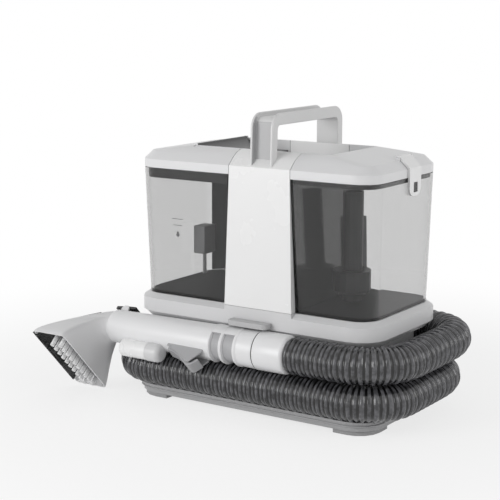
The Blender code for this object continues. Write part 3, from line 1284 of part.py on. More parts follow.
def make_nozzle(frame):
    made = set(bpy.data.objects)
    steps = [i / HOOD_STEPS for i in range(HOOD_STEPS + 1)]
    spigot = WAND_TIP + SPIGOT_LENGTH
    neck = WAND_TIP - GAP
    loops = [pipe_section(spigot, SPIGOT_RADIUS), pipe_section(neck, SPIGOT_RADIUS)]
    loops += [hood_section(s, 0) for s in steps]
    loops += [hood_section(s, -HOOD_WALL) for s in reversed(steps[1:])]
    loops += [pipe_section(neck - HOOD_WALL, SPIGOT_BORE), pipe_section(spigot, SPIGOT_BORE)]
    head = add("nozzle_head", loft(loops, ring=True), grey(0xB8), 0.35)

    rows = steps[WINDOW_FIRST_STEP:] + [WINDOW_END_SHARE]
    window = add("nozzle_window", loft([window_row(s) for s in rows]), grey(0x38), 0.15)

    slab = prism(outline(MOUTH_X - BRUSH_FAR, MOUTH_X + BRUSH_NEAR, -BRUSH_HALF_WIDTH, BRUSH_HALF_WIDTH,
                         (BRUSH_CORNER,) * 4), "z", -BRUSH_DEPTH - BRUSH_THICKNESS, -BRUSH_DEPTH)
    brush = add("nozzle_brush", slab, grey(0x40), 0.6)
    middle = (MOUTH_X + sum(TUFT_ROWS) / len(TUFT_ROWS), 0, 0)
    combine(brush, shape("spray hole", turned(
        disc(JET_BORE + GAP, -BRUSH_DEPTH - BRUSH_THICKNESS - PAST, PAST - BRUSH_DEPTH),
        sides=SMALL_STEPS, place=middle)))
    combine(brush, shape("bristles", make_bristles()), "UNION")

    low = GAP - BRUSH_DEPTH
    jet = add("spray_jet", turned(
        ((JET_BORE, low), (JET_RADIUS, low), (JET_RADIUS, low + JET_LENGTH / 2),
         (JET_RADIUS / 2, low + JET_LENGTH), (JET_BORE, low + JET_LENGTH)), sides=16,
        place=middle), grey(0x70), 0.4)
    for item in (head, window, brush, jet):
        pivot(item, (WAND_TIP, 0, 0))
    for item in set(bpy.data.objects) - made:
        item.parent = frame


def make_bristles():
    """Ten tufts in each row; a tuft's strands follow a seed head's spiral and splay apart."""
    bm = bmesh.new()
    foot = -BRUSH_DEPTH - BRUSH_THICKNESS + STRAND_ROOT
    for x in TUFT_ROWS:
        for tuft in range(TUFTS):
            y = TUFT_PITCH * (tuft - (TUFTS - 1) / 2)
            for strand in range(TUFT_STRANDS):
                reach = TUFT_RADIUS * math.sqrt((strand + 0.5) / TUFT_STRANDS)
                turn = strand * GOLDEN_ANGLE
                offset = Vector((reach * math.cos(turn), reach * math.sin(turn), 0))
                base = Vector((MOUTH_X + x, y, foot)) + offset
                tip = base + offset * STRAND_SPLAY - Vector((0, 0, STRAND_LENGTH))
                rows = []
                for centre, radius in ((base, STRAND_RADIUS), (tip, STRAND_RADIUS / 2)):
                    rows.append([bm.verts.new(point) for point in circle(
                        centre, Vector((1, 0, 0)), Vector((0, 1, 0)), radius, 3)])
                root = bm.faces.new(rows[0])
                end = bm.faces.new(rows[1])
                bmesh.ops.bridge_loops(bm, edges=list(root.edges) + list(end.edges))
    return bm


def build():
    clear_scene()
    make_base()
    make_hose()
    make_connector()
    make_housing()
    make_deck()
    make_column()
    make_handle()
    make_clean_tank()
    make_clean_lid()
    make_dirty_tank()
    make_dirty_lid()
    make_fan_and_motor()
    make_pump_and_board()
    make_rear_fittings()
    frame = make_wand_frame()
    make_wand(frame)
    make_nozzle(frame)


build()
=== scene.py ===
# %% [markdown]
# # A spot extractor, dressed for its picture
# The machine's working solids come ready made from its frame: tanks, lids, column, hose and wand,
# each on the body it moves with. This lesson gives them their looks. Where a plain solid is too
# coarse, the piece is modelled again around it. The others get softer edges or just a better
# finish. Every finish is named for the real material, and those that paint in shade or glints say
# so.

# %% The frame
import math

import bmesh
import bpy
import numpy as np
from mathutils import Matrix, Vector


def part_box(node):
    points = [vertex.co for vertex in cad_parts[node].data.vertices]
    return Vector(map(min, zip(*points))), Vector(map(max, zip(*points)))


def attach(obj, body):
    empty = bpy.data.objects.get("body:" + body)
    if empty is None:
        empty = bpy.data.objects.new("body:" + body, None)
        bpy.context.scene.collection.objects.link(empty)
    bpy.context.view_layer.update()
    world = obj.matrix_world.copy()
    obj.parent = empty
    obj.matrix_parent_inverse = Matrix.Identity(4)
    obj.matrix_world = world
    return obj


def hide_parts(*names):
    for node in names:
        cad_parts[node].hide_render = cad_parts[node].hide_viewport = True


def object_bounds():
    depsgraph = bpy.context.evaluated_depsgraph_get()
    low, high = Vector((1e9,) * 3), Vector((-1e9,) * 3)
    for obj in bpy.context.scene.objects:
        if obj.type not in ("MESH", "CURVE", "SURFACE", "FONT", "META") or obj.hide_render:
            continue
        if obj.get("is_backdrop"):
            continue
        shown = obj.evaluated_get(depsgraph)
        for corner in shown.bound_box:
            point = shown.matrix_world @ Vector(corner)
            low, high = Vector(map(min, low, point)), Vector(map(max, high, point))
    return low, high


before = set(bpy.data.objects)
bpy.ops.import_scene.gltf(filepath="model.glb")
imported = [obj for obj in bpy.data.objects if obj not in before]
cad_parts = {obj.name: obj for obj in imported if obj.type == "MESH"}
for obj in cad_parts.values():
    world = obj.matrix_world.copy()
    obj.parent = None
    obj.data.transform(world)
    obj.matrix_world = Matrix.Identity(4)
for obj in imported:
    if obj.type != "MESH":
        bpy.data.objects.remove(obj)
cad_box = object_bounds()
MM = 0.001

# %% [markdown]
# ## Helpers for modelling by hand
# Blender's operators act on whatever is selected, and the frame arrives selected. So each piece
# starts from an empty selection, and points, edges and faces are then picked by where they lie.
# A hand would click on them, but a script has no window to click in.


# %% Starting and picking
def take(piece=None, edit=False):
    """Select one piece alone, or nothing, and open its mesh if asked."""
    if bpy.context.mode != "OBJECT":
        bpy.ops.object.mode_set(mode="OBJECT")
    bpy.ops.object.select_all(action="DESELECT")
    if piece:
        piece.select_set(True)
        bpy.context.view_layer.objects.active = piece
    if edit:
        bpy.ops.object.mode_set(mode="EDIT")


def primitive(name, kind, **settings):
    """Add one of Blender's primitives and leave it open in edit mode, all of it selected."""
    take()
    bpy.context.tool_settings.mesh_select_mode = (True, False, False)
    getattr(bpy.ops.mesh, f"primitive_{kind}_add")(**settings)
    piece = bpy.context.object
    piece.name = piece.data.name = name
    bpy.ops.object.mode_set(mode="EDIT")
    return piece


MIDDLES = {"verts": lambda vert: vert.co,
           "edges": lambda edge: (edge.verts[0].co + edge.verts[1].co) / 2,
           "faces": lambda face: face.calc_center_median()}


def pick(piece, kind, test):
    """Select the verts, edges or faces whose middle passes a test, and nothing else."""
    bm = bmesh.from_edit_mesh(piece.data)
    bpy.context.tool_settings.mesh_select_mode = [kind == word for word in MIDDLES]
    for sort in (bm.verts, bm.edges, bm.faces):
        for item in sort:
            item.select_set(False)
    found = [item for item in getattr(bm, kind) if test(MIDDLES[kind](item), item)]
    for item in found:
        item.select_set(True)
    bm.select_flush_mode()
    bmesh.update_edit_mesh(piece.data)
    return len(found)


print("picks:", ", ".join(MIDDLES))

# %% [markdown]
# ## Finishing a mesh
# A finished mesh has its loose points welded and its faces pointing outwards, and looks smooth
# except at its real edges. Its place is in the mesh itself, with the object left at the origin.
# Modifiers could stay live, but applied ones leave a mesh that the next step can pick from.

# %% Finishing
WELD = 1e-6


def done(piece, angle=30, recalculate=True):
    """Leave edit mode with faces pointing out, smooth but for real edges, placed at the origin."""
    if bpy.context.mode != "OBJECT":
        bpy.ops.mesh.select_all(action="SELECT")
        bpy.ops.mesh.remove_doubles(threshold=WELD)
        if recalculate:
            bpy.ops.mesh.normals_make_consistent(inside=False)
    placed(piece)
    bpy.ops.object.shade_smooth_by_angle(angle=math.radians(angle))
    return piece


def placed(piece, matrix=None):
    """Move a piece by a matrix, if one is given, and put its place into its mesh."""
    take(piece)
    if matrix:
        piece.matrix_world = matrix
    bpy.ops.object.transform_apply(location=True, rotation=True, scale=True)
    return piece


def modify(piece, kind, **settings):
    """Add a modifier and apply it."""
    take(piece)
    modifier = piece.modifiers.new(kind.lower(), kind)
    for key, value in settings.items():
        setattr(modifier, key, value)
    bpy.ops.object.modifier_apply(modifier=modifier.name)
    return piece


def rounded(piece, width, segments=3, angle=32):
    """Soften a piece's sharp edges as a mould leaves them, with flat faces kept flat."""
    modify(piece, "BEVEL", width=width, segments=segments, limit_method="ANGLE",
           angle_limit=math.radians(angle), use_clamp_overlap=True, miter_outer="MITER_ARC")
    piece.data.shade_smooth()
    return modify(piece, "WEIGHTED_NORMAL", keep_sharp=True, weight=60)


def settle(piece, body, *solids):
    """Let a finished piece ride on its body in place of the solids it stands for."""
    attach(piece, body)
    if solids:
        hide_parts(*solids)
    print(f"{piece.name}: {len(piece.data.polygons)} faces")
    return piece


print("points closer than", WELD / MM, "mm are welded")

# %% [markdown]
# ## Moulded parts with softened edges
# An injection moulding never has a knife edge: its corners are rounded by half a millimetre or so,
# and that thin highlight is what makes it read as plastic. Such a part could be modelled from
# nothing, but its solid already has every hole and rib in place. So a copy is welded, its
# triangles are dissolved into flat faces again, and a bevel rounds what is still sharp.

# %% Copying a solid
FLAT_ANGLE = 1.5


def moulding(solid, body, width):
    """A copy of a solid with its flat faces whole again and its sharp edges rounded."""
    piece = bpy.data.objects.new(f"{solid}_shell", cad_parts[solid].data.copy())
    bpy.context.scene.collection.objects.link(piece)
    piece.data.materials.clear()
    take(piece, edit=True)
    bpy.ops.mesh.select_all(action="SELECT")
    bpy.ops.mesh.remove_doubles(threshold=WELD)
    bpy.ops.mesh.customdata_custom_splitnormals_clear()
    bpy.ops.mesh.dissolve_limited(angle_limit=math.radians(FLAT_ANGLE))
    bpy.ops.object.mode_set(mode="OBJECT")
    if width:
        rounded(piece, width)
    return settle(piece, body, solid)


print("faces within", FLAT_ANGLE, "degrees become one")

# %% [markdown]
# ## Camera
# The picture was taken from the front right, a little above the machine, with a long lens that
# keeps its upright lines nearly parallel. A camera can be moved by hand until the picture fits.
# These numbers were solved from the machine's own edges instead, which is quicker and closer.

# %% The camera
CAMERA_PLACE = (0.78775, -1.25053, 0.4455)
CAMERA_TARGET = (-0.04118, -0.01055, 0.16595)
CAMERA_LENS = 98.07
SENSOR_WIDTH = 36


def aim(item, place, target):
    """Put a camera or a lamp in its place and turn it towards its target."""
    item.location = place
    item.rotation_euler = (Vector(target) - Vector(place)).to_track_quat("-Z", "Y").to_euler()


camera = bpy.data.objects.new("camera", bpy.data.cameras.new("camera"))
bpy.context.scene.collection.objects.link(camera)
camera.data.lens = CAMERA_LENS
camera.data.sensor_width = SENSOR_WIDTH
aim(camera, CAMERA_PLACE, CAMERA_TARGET)
bpy.context.scene.camera = camera
bpy.context.scene.view_settings.view_transform = "Standard"
print("camera at", CAMERA_PLACE, "with a lens of", CAMERA_LENS, "mm")


# %% [markdown]
# ## One helper for every shader node
# A material is a small tree of nodes. The trees could be wired by hand in the shader editor, and
# the same few steps would then be repeated in each. Here one function adds a node with its
# settings, fixed inputs and links, and another turns the hex colours of a paint card into the
# linear values that light adds up in.

# %% Nodes and colours
def linear(code):
    """Linear colour of an sRGB hex value."""
    levels = [int(code[i:i + 2], 16) / 255 for i in (1, 3, 5)]
    return [v / 12.92 if v <= 0.04045 else ((v + 0.055) / 1.055) ** 2.4 for v in levels] + [1.0]


def node(tree, kind, feed=None, **settings):
    """Add a node; feed gives its inputs a value, or another node's output to link."""
    item = tree.nodes.new("ShaderNode" + kind)
    for key, value in settings.items():
        setattr(item, key, value)
    for key, value in (feed or {}).items():
        if isinstance(value, bpy.types.NodeSocket):
            tree.links.new(value, item.inputs[key])
        else:
            item.inputs[key].default_value = value
    return item


def surface(name, **sockets):
    """A new material: its tree, its Principled shader and its object coordinates."""
    material = bpy.data.materials.new(name)
    material.use_nodes = True
    tree = material.node_tree
    shader = tree.nodes["Principled BSDF"]
    for key, value in sockets.items():
        shader.inputs[key.replace("_", " ")].default_value = value
    return material, tree, shader, node(tree, "TexCoord").outputs["Object"]


WHITE = linear("#ffffff")
print("middle grey #808080 is", round(linear("#808080")[0], 3), "in linear light")


# %% [markdown]
# ## The studio
# The studio is a white tent. Light comes from all round, strongest from the front and the right,
# and weakest from straight above, so upward slopes look greyer than upright walls. Many lamps
# could build this up, but a world that dims with height does it with only two. Seen straight, in
# a mirror or through a clear wall, the world is plain white, and its own level is only for light.

# %% Tent and softboxes
STUDIO_SIDE = 0.62
STUDIO_TOP = 0.40
DIMMING_HEIGHTS = (0.15, 0.95)
LAMP_TARGET = (0, 0, 0.16)
LAMPS = (("front softbox", (-0.75, -1.7, 0.6), 0.9, 13),
         ("right softbox", (1.7, 0.25, 0.7), 0.8, 6))


def straight(tree):
    """One for a ray that comes from the camera, a mirror or a clear wall, and none for lighting."""
    path = node(tree, "LightPath").outputs
    total = path["Is Camera Ray"]
    for kind in ("Is Glossy Ray", "Is Transmission Ray"):
        both = node(tree, "Math", {0: total, 1: path[kind]}, operation="MAXIMUM")
        total = both.outputs["Value"]
    return total


for name, place, size, power in LAMPS:
    lamp = bpy.data.lights.new(name, "AREA")
    lamp.size = size
    lamp.energy = power
    item = bpy.data.objects.new(name, lamp)
    bpy.context.scene.collection.objects.link(item)
    aim(item, place, LAMP_TARGET)
    print(name, "of", power, "W")

world = bpy.data.worlds.new("white tent")
bpy.context.scene.world = world
world.use_nodes = True
sky = world.node_tree
sky.nodes.clear()
direction = node(sky, "TexCoord").outputs["Generated"]
upward = node(sky, "SeparateXYZ", {"Vector": direction}).outputs["Z"]
brightness = node(sky, "MapRange", {
    "Value": upward, "From Min": DIMMING_HEIGHTS[0], "From Max": DIMMING_HEIGHTS[1],
    "To Min": STUDIO_SIDE, "To Max": STUDIO_TOP}).outputs["Result"]
tent = node(sky, "Background", {"Color": WHITE, "Strength": brightness})
backdrop = node(sky, "Background", {"Color": WHITE, "Strength": 1.0})
shown = node(sky, "MixShader", {0: straight(sky), 1: tent.outputs[0], 2: backdrop.outputs[0]})
node(sky, "OutputWorld", {"Surface": shown.outputs[0]})


# %% [markdown]
# ## The floor
# The floor is matt white card. Near the machine it takes the shadow, and further out it fades into
# plain white, so that no horizon shows. A bent backdrop would do this in a real studio, but it
# would hide the machine from behind. A flat floor whose colour goes over into white looks the same
# from every side. The tooth of real card is about 0.2 mm, and it is drawn coarser here to show.

# %% Floor
FLOOR_SIZE = 6.0
FLOOR_DROP = 0.4 * MM
CARD_TOOTH = 1.43 * MM
CARD_DEPTH = 0.2 * MM
FADE_START = 0.25
FADE_END = 0.75
FLOOR_GLOW = 0.74

floor = primitive("floor", "plane", size=FLOOR_SIZE, location=(0, 0, -FLOOR_DROP))
done(floor)
card, tree, shader, place = surface("matt white card", Base_Color=linear("#fafafa"), Roughness=0.9)
grain = node(tree, "TexNoise", {"Vector": place, "Scale": 1 / CARD_TOOTH, "Detail": 3.0})
tooth = node(tree, "Bump", {"Height": grain.outputs["Fac"], "Strength": 0.04,
                            "Distance": CARD_DEPTH})
tree.links.new(tooth.outputs[0], shader.inputs["Normal"])
distance = node(tree, "VectorMath", {0: place}, operation="LENGTH").outputs["Value"]
fade = node(tree, "MapRange", {"Value": distance, "From Min": FADE_START, "From Max": FADE_END,
                               "To Min": FLOOR_GLOW, "To Max": 1.0},
            interpolation_type="SMOOTHSTEP")
glow = node(tree, "Emission", {"Color": WHITE, "Strength": 1.0})
share = node(tree, "Math", {0: fade.outputs[0], 1: straight(tree)}, operation="MULTIPLY")
blend = node(tree, "MixShader", {0: share.outputs[0], 1: shader.outputs[0], 2: glow.outputs[0]})
tree.links.new(blend.outputs[0], tree.nodes["Material Output"].inputs["Surface"])
floor.data.materials.append(card)
floor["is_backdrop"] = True
print("floor fades to white from", FADE_START, "to", FADE_END, "m")


# %% [markdown]
# ## Plastics
# Most of the machine is injection-moulded ABS. The mould's surface gives it its look: a polished
# mould leaves a sheen, a spark-eroded one a fine matt grain. A picture of such a grain could be
# laid over the part, but a noise in the part's own coordinates needs no unwrapping and never
# repeats. The real grain is under a tenth of a millimetre, so it is drawn a few times coarser to
# show at all. Broad soft changes of roughness and tone stand for handling.

# %% Moulded plastic
GRAIN_STRENGTH = 0.35
HANDLING = 0.01
NOISE_SPAN = (0.3, 0.7)
TONE_SPAN = (0.35, 0.65)
MIX_A, MIX_B, MIX_RESULT = 6, 7, 2


def moulded(name, colour, roughness, grain=0.5, depth=0.02, ior=1.54, drift=0.004, cloud=45.5,
            **sockets):
    """Moulded plastic. Its grain, depth and cloud are in mm, and drift is how far its tone goes."""
    material, tree, shader, place = surface(name, IOR=ior, **sockets)
    fine = node(tree, "TexNoise", {"Vector": place, "Scale": 1 / (grain * MM), "Detail": 2.0})
    bump = node(tree, "Bump", {"Height": fine.outputs["Fac"], "Strength": GRAIN_STRENGTH,
                               "Distance": depth * MM})
    tree.links.new(bump.outputs[0], shader.inputs["Normal"])
    broad = node(tree, "TexNoise", {"Vector": place, "Scale": 1 / (cloud * MM), "Detail": 4.0})
    shine = node(tree, "MapRange", {
        "Value": broad.outputs["Fac"], "From Min": NOISE_SPAN[0], "From Max": NOISE_SPAN[1],
        "To Min": roughness - HANDLING, "To Max": roughness + HANDLING})
    tree.links.new(shine.outputs[0], shader.inputs["Roughness"])
    tone = node(tree, "MapRange", {"Value": broad.outputs["Fac"], "From Min": TONE_SPAN[0],
                                   "From Max": TONE_SPAN[1]})
    base = linear(colour)[:3]
    tint = node(tree, "Mix", {0: tone.outputs["Result"],
                              MIX_A: [v * (1 - drift) for v in base] + [1],
                              MIX_B: [min(v * (1 + drift), 1) for v in base] + [1]},
                data_type="RGBA")
    tree.links.new(tint.outputs[MIX_RESULT], shader.inputs["Base Color"])
    return material


# Spark-eroded ABS spreads its highlight evenly, and a satin mould draws it tighter and brighter.
white_abs = moulded("white ABS, fine spark-eroded grain", "#e9e9e9", 0.36)
satin_abs = moulded("white ABS, satin mould", "#ececec", 0.27, grain=0.8, depth=0.01)
barrel_abs = moulded("white ABS, wand tube", "#e5e5e6", 0.3, grain=0.8, depth=0.01)
lid_abs = moulded("white ABS, lid moulding", "#dfdfe0", 0.33)
nozzle_abs = moulded("cool grey ABS, nozzle moulding", "#dededf", 0.34)
handle_abs = moulded("pale grey ABS, satin mould", "#d6d6d6", 0.33)
pale_abs = moulded("light grey ABS", "#d2d2d3", 0.36)
# The greys sit lower or further in, a duller mould keeps them quiet. The web grey is painted shade.
web_shade_abs = moulded("grey ABS, painted channel shade", "#b4b4b5", 0.42)
rest_abs = moulded("grey ABS, wand rest", "#b4b4b5", 0.42)
grip_abs = moulded("mid grey ABS, eroded grip panel", "#a9a9ab", 0.5, grain=0.7, depth=0.05)
trigger_abs = moulded("mid grey ABS, satin mould", "#a6a6a8", 0.32)
plate_abs = moulded("grey ABS, base tray", "#a3a3a4", 0.42)
# Dark ABS shows its highlight far more than its colour. The inner walls are kept almost dull.
dark_abs = moulded("dark grey ABS", "#3c3c3e", 0.38)
black_abs = moulded("black ABS, semi-gloss", "#1d1d1f", 0.25)
# The inner walls and liner are dark plastic, set near black to paint the shade inside the tanks.
inner_wall_shade = moulded("near-black ABS, inner wall, painted shade", "#111112", 0.7, grain=0.8, depth=0.04,
                   Specular_IOR_Level=0.12)
# Rubber takes light in: no clear highlight, a soft edge, and a coarser skin than ABS.
foot_tpe = moulded("grey TPE rubber, foot pads", "#9a9a9b", 0.6, grain=0.6, depth=0.04, ior=1.5)
rubber = moulded("black TPE rubber, matt", "#232324", 0.75, grain=0.6, depth=0.06, ior=1.5)
seal_silicone = moulded("silicone seal, charcoal", "#171718", 0.45, grain=0.9, ior=1.41)
# The matt black is painted shadow: dark lines between lid and column, and grip and collar.
joint_shadow_paint = moulded("matt black, painted joint shadow", "#1a1a1b", 0.9, depth=0.05, ior=1.4)
print("materials in the file so far:", len(bpy.data.materials))


# %% [markdown]
# ## Clear plastics
# The tanks are moulded from a smoke-tinted clear plastic. The tint could be a darker surface
# colour, but then every wall would look alike. It sits in the wall instead, as dye does, so a wall
# seen square on stays light and a corner, where light runs along inside it, looks nearly black.
# The index of refraction is set a little under the real 1.57, which keeps mirror images weak.

# %% Smoke-tinted SAN
CLEAR_IOR = 1.45
CLEAR_ROUGHNESS = 0.02
CLEAR_HAZE = 0.01
HAZE_CLOUD = 28.6 * MM
WAVE_WIDTH = 71.4 * MM
WAVE_DEPTH = 0.2 * MM
TANK_WALL = 2.5 * MM
SMOKE_DENSITY = 98.0


def clear(name, density):
    """Polished clear plastic whose dye takes up light inside it, by its density per metre."""
    material, tree, shader, place = surface(name, IOR=CLEAR_IOR, Transmission_Weight=1.0,
                                            Base_Color=WHITE)
    broad = node(tree, "TexNoise", {"Vector": place, "Scale": 1 / HAZE_CLOUD, "Detail": 3.0})
    polish = node(tree, "MapRange", {"Value": broad.outputs["Fac"], "To Min": CLEAR_ROUGHNESS,
                                     "To Max": CLEAR_ROUGHNESS + CLEAR_HAZE})
    tree.links.new(polish.outputs[0], shader.inputs["Roughness"])
    wave = node(tree, "TexNoise", {"Vector": place, "Scale": 1 / WAVE_WIDTH, "Detail": 1.0})
    bump = node(tree, "Bump", {"Height": wave.outputs["Fac"], "Strength": 0.05,
                               "Distance": WAVE_DEPTH})
    tree.links.new(bump.outputs[0], shader.inputs["Normal"])
    dye = node(tree, "VolumeAbsorption", {"Color": linear("#000000"), "Density": density})
    tree.links.new(dye.outputs[0], tree.nodes["Material Output"].inputs["Volume"])
    return material


# A polished wall: sharp reflections, and a grey tint that deepens with the way through it.
smoke = clear("smoke-tinted SAN, polished", SMOKE_DENSITY)
dark_smoke = clear("dark tinted SAN, polished", 2600.0)
# The tinted floors and pipes look closed, so they are near-black mouldings that hardly shine.
tank_floor = moulded("dark tinted SAN floor", "#060607", 0.6, grain=2.0, depth=0.01,
                     Specular_IOR_Level=0.08)
dark_pipe = moulded("dark tinted SAN, pipe", "#1a1a1b", 0.35, grain=2.0, depth=0.01,
                    Specular_IOR_Level=0.3)
print(f"a wall lets {math.exp(-SMOKE_DENSITY * TANK_WALL):.0%} of the light through")


# %% [markdown]
# ## Metals, board and bristles
# Small parts still get their own finish. Turned and rolled steel carry fine tool marks, a
# lacquered circuit board its copper tracks, and drawn nylon a soft sheen. Real tool marks run in
# one direction, but on a screw head of a few millimetres a plain noise in the roughness reads
# the same. Tracks are under a millimetre wide, and are drawn coarser so that they show.

# %% Steel, board, nylon
TRACK_LENGTH = 11.1 * MM
NYLON_GRAIN = 3.85 * MM


def machined_steel(name, colour, roughness, mark):
    """Steel whose tool marks, of a width in mm, break its highlight up."""
    material, tree, shader, place = surface(name, Metallic=1.0, Base_Color=linear(colour))
    marks = node(tree, "TexNoise", {"Vector": place, "Scale": 1 / (mark * MM), "Detail": 1.0})
    shine = node(tree, "MapRange", {"Value": marks.outputs["Fac"], "To Min": roughness - 0.08,
                                    "To Max": roughness + 0.1})
    tree.links.new(shine.outputs[0], shader.inputs["Roughness"])
    bump = node(tree, "Bump", {"Height": marks.outputs["Fac"], "Strength": 0.2,
                               "Distance": 0.01 * MM})
    tree.links.new(bump.outputs[0], shader.inputs["Normal"])
    return material


# Zinc plating looks bright and cool, and rolled motor steel darker and more blurred.
steel = machined_steel("zinc-plated steel, turned", "#a9aaac", 0.32, 0.25)
motor_steel = machined_steel("rolled motor steel", "#8f9092", 0.42, 0.8)

# Lacquer gives the board a clear shine over two greens, with paler tracks between them.
board, tree, shader, place = surface("green lacquered circuit board", Roughness=0.35, IOR=1.5)
tracks = node(tree, "TexBrick", {"Vector": place, "Color1": linear("#0f4d2c"),
                                 "Color2": linear("#125733"), "Mortar": linear("#1f7a4a"),
                                 "Scale": 1 / TRACK_LENGTH, "Mortar Size": 0.02})
tree.links.new(tracks.outputs["Color"], shader.inputs["Base Color"])

# Drawn nylon is milky, and its many edges together give a faint sheen.
nylon, tree, shader, place = surface("drawn nylon, pale grey", IOR=1.53, Roughness=0.38,
                                     Sheen_Weight=0.15)
streaks = node(tree, "TexNoise", {"Vector": place, "Scale": 1 / NYLON_GRAIN, "Detail": 2.0})
shade = node(tree, "Mix", {0: streaks.outputs["Fac"], MIX_A: linear("#ededee"),
                           MIX_B: linear("#fafafa")}, data_type="RGBA")
tree.links.new(shade.outputs[MIX_RESULT], shader.inputs["Base Color"])
print("materials in the file now:", len(bpy.data.materials))


# %% [markdown]
# ## Housing, lids and column
# The body is made of thick-walled mouldings: a tray, a deck that the tanks stand on, a column
# between the tanks and a lid on each. Their solids already have the right form, so modelling them
# again would gain nothing. They are copied and their edges rounded, each by the radius in
# millimetres that stands beside its name.

# %% Body mouldings
MOULDINGS = (
    ("base_plate", "machine", 0.8, plate_abs), ("bottom_cover", "machine", 0.8, plate_abs),
    ("foot_front_left", "machine", 1.0, foot_tpe), ("foot_front_right", "machine", 1.0, foot_tpe),
    ("foot_back_left", "machine", 1.0, foot_tpe), ("foot_back_right", "machine", 1.0, foot_tpe),
    ("lower_housing", "machine", 1.0, plate_abs), ("deck", "machine", 1.6, pale_abs),
    ("column_front", "machine", 0.9, satin_abs), ("column_rear", "machine", 0.8, white_abs),
    ("column_side_left", "machine", 0.4, inner_wall_shade),
    ("column_side_right", "machine", 0.4, inner_wall_shade),
    ("wand_rest", "machine", 0.9, rest_abs), ("hose_connector", "machine", 0.8, dark_abs),
    ("clean_tank_lid", "clean_lid", 0.8, lid_abs),
    ("clean_lid_seal", "clean_lid", 0.5, seal_silicone),
    ("fill_flap", "fill_flap", 0.5, black_abs),
    ("dirty_tank_lid", "dirty_lid", 0.8, lid_abs),
    ("dirty_lid_seal", "dirty_lid", 0.5, seal_silicone),
    ("latch_catch", "lid_latch", 0.3, black_abs),
    ("clean_tank_liner", "clean_tank", 0.3, inner_wall_shade),
    ("water_filter", "clean_tank", 0.4, grip_abs), ("inlet_duct", "dirty_tank", 0.4, dark_pipe),
    ("nozzle_latch", "nozzle_latch", 0.5, black_abs),
)
shells = {}
for name, body, radius, material in MOULDINGS:
    shells[name] = moulding(name, body, radius * MM)
    shells[name].data.materials.append(material)

# %% [markdown]
# A lid meets the column in a straight joint, where shade shows as a dark line between the parts.
# That line is painted shadow. A strip could be modelled there, but the rounded edge already has
# faces of the right width, so those next to the end are painted black.

# %% Painted shadow at the joints
SHADOW_REACH = 0.85 * MM
SHADOW_FACING = 0.12


def paint_joint_shadow(piece, side):
    """Paint the faces at one end of a piece, seen along x, black as the shadow in the joint."""
    piece.data.materials.append(joint_shadow_paint)
    end = max(side * v.co.x for v in piece.data.vertices)
    ring = [face for face in piece.data.polygons if side * face.center.x > end - SHADOW_REACH
            and side * face.normal.x > SHADOW_FACING]
    for face in ring:
        face.material_index = 1
    print(piece.name, "painted shadow faces:", len(ring))


paint_joint_shadow(shells["clean_tank_lid"], 1)
paint_joint_shadow(shells["dirty_tank_lid"], -1)


# %% [markdown]
# ## Drawing a shape out ring by ring
# Many parts here are tubes of some kind: the handle, the grip, the nozzle's hood, one rib of the
# hose. Each is drawn out from a first ring of points by extruding its edges and moving the new
# points to the next ring. A loft in CAD does the same. In Blender this keeps every ring where the
# part needs a line.

# %% Rings and arcs
def bow(centre, radius, first, last, steps):
    """Points on an arc from one angle to another, in degrees."""
    angles = [math.radians(first + (last - first) * i / steps) for i in range(steps + 1)]
    return [(centre[0] + radius * math.cos(a), centre[1] + radius * math.sin(a)) for a in angles]


def outlined(name, points, fill="NOTHING"):
    """A closed ring of edges through the given points, open in edit mode."""
    piece = primitive(name, "circle", vertices=len(points), fill_type=fill)
    bm = bmesh.from_edit_mesh(piece.data)
    for vert, point in zip(bm.verts, points):
        vert.co = point
    bmesh.update_edit_mesh(piece.data)
    return piece


def key(point, digits=6):
    """A point's coordinates rounded, so that the same place is found again."""
    return tuple(round(c, digits) for c in Vector(point))


def skin(name, rings):
    """Draw a tube out ring by ring, each ring given as its points."""
    piece = outlined(name, rings[0])
    for before, after in zip(rings, rings[1:]):
        moved = {key(old): new for old, new in zip(before, after)}
        bpy.ops.mesh.extrude_region()
        bm = bmesh.from_edit_mesh(piece.data)
        for vert in [v for v in bm.verts if v.select]:
            vert.co = moved[key(vert.co)]
        bmesh.update_edit_mesh(piece.data)
    return piece


print("a quarter arc in 2 steps:", [key((*p, 0), 2)[:2] for p in bow((0, 0), 1, 0, 90, 2)])

# %% [markdown]
# ## Carry handle
# The handle is a channel bent over into an arch: two flanges with a web set back between them. A
# section swept along a curve would turn every line on the same centre. On the real handle, outer
# side, web and inner side each turn the corners on their own arc. So the section, a ring of eight
# points, is drawn out along three lines of their own.

# %% Handle
HANDLE_BAR = 12.3 * MM
HANDLE_LEG = 10.5 * MM
HANDLE_WEB = 3.2 * MM
BAR_CHANNEL = 4.0 * MM
HANDLE_FLANGE = 2.8 * MM
OUTER_CORNER = 16 * MM
INNER_CORNER = 5 * MM
HANDLE_LEAN = 2 * MM
HANDLE_FOOT = 262 * MM
BEND_STEPS = 12
handle_low, handle_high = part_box("handle")


def arch(inset_leg, inset_bar, corner):
    """The arch from the side, moved inwards at its legs and at its bar, as (y, z) points."""
    front, back = handle_low.y + HANDLE_LEAN + inset_leg, handle_high.y - inset_leg
    top = handle_high.z - inset_bar
    line = [(front - HANDLE_LEAN, HANDLE_FOOT)]
    line += bow((front + corner, top - corner), corner, 180, 90, BEND_STEPS)
    line += bow((back - corner, top - corner), corner, 90, 0, BEND_STEPS)
    return line + [(back, HANDLE_FOOT)]


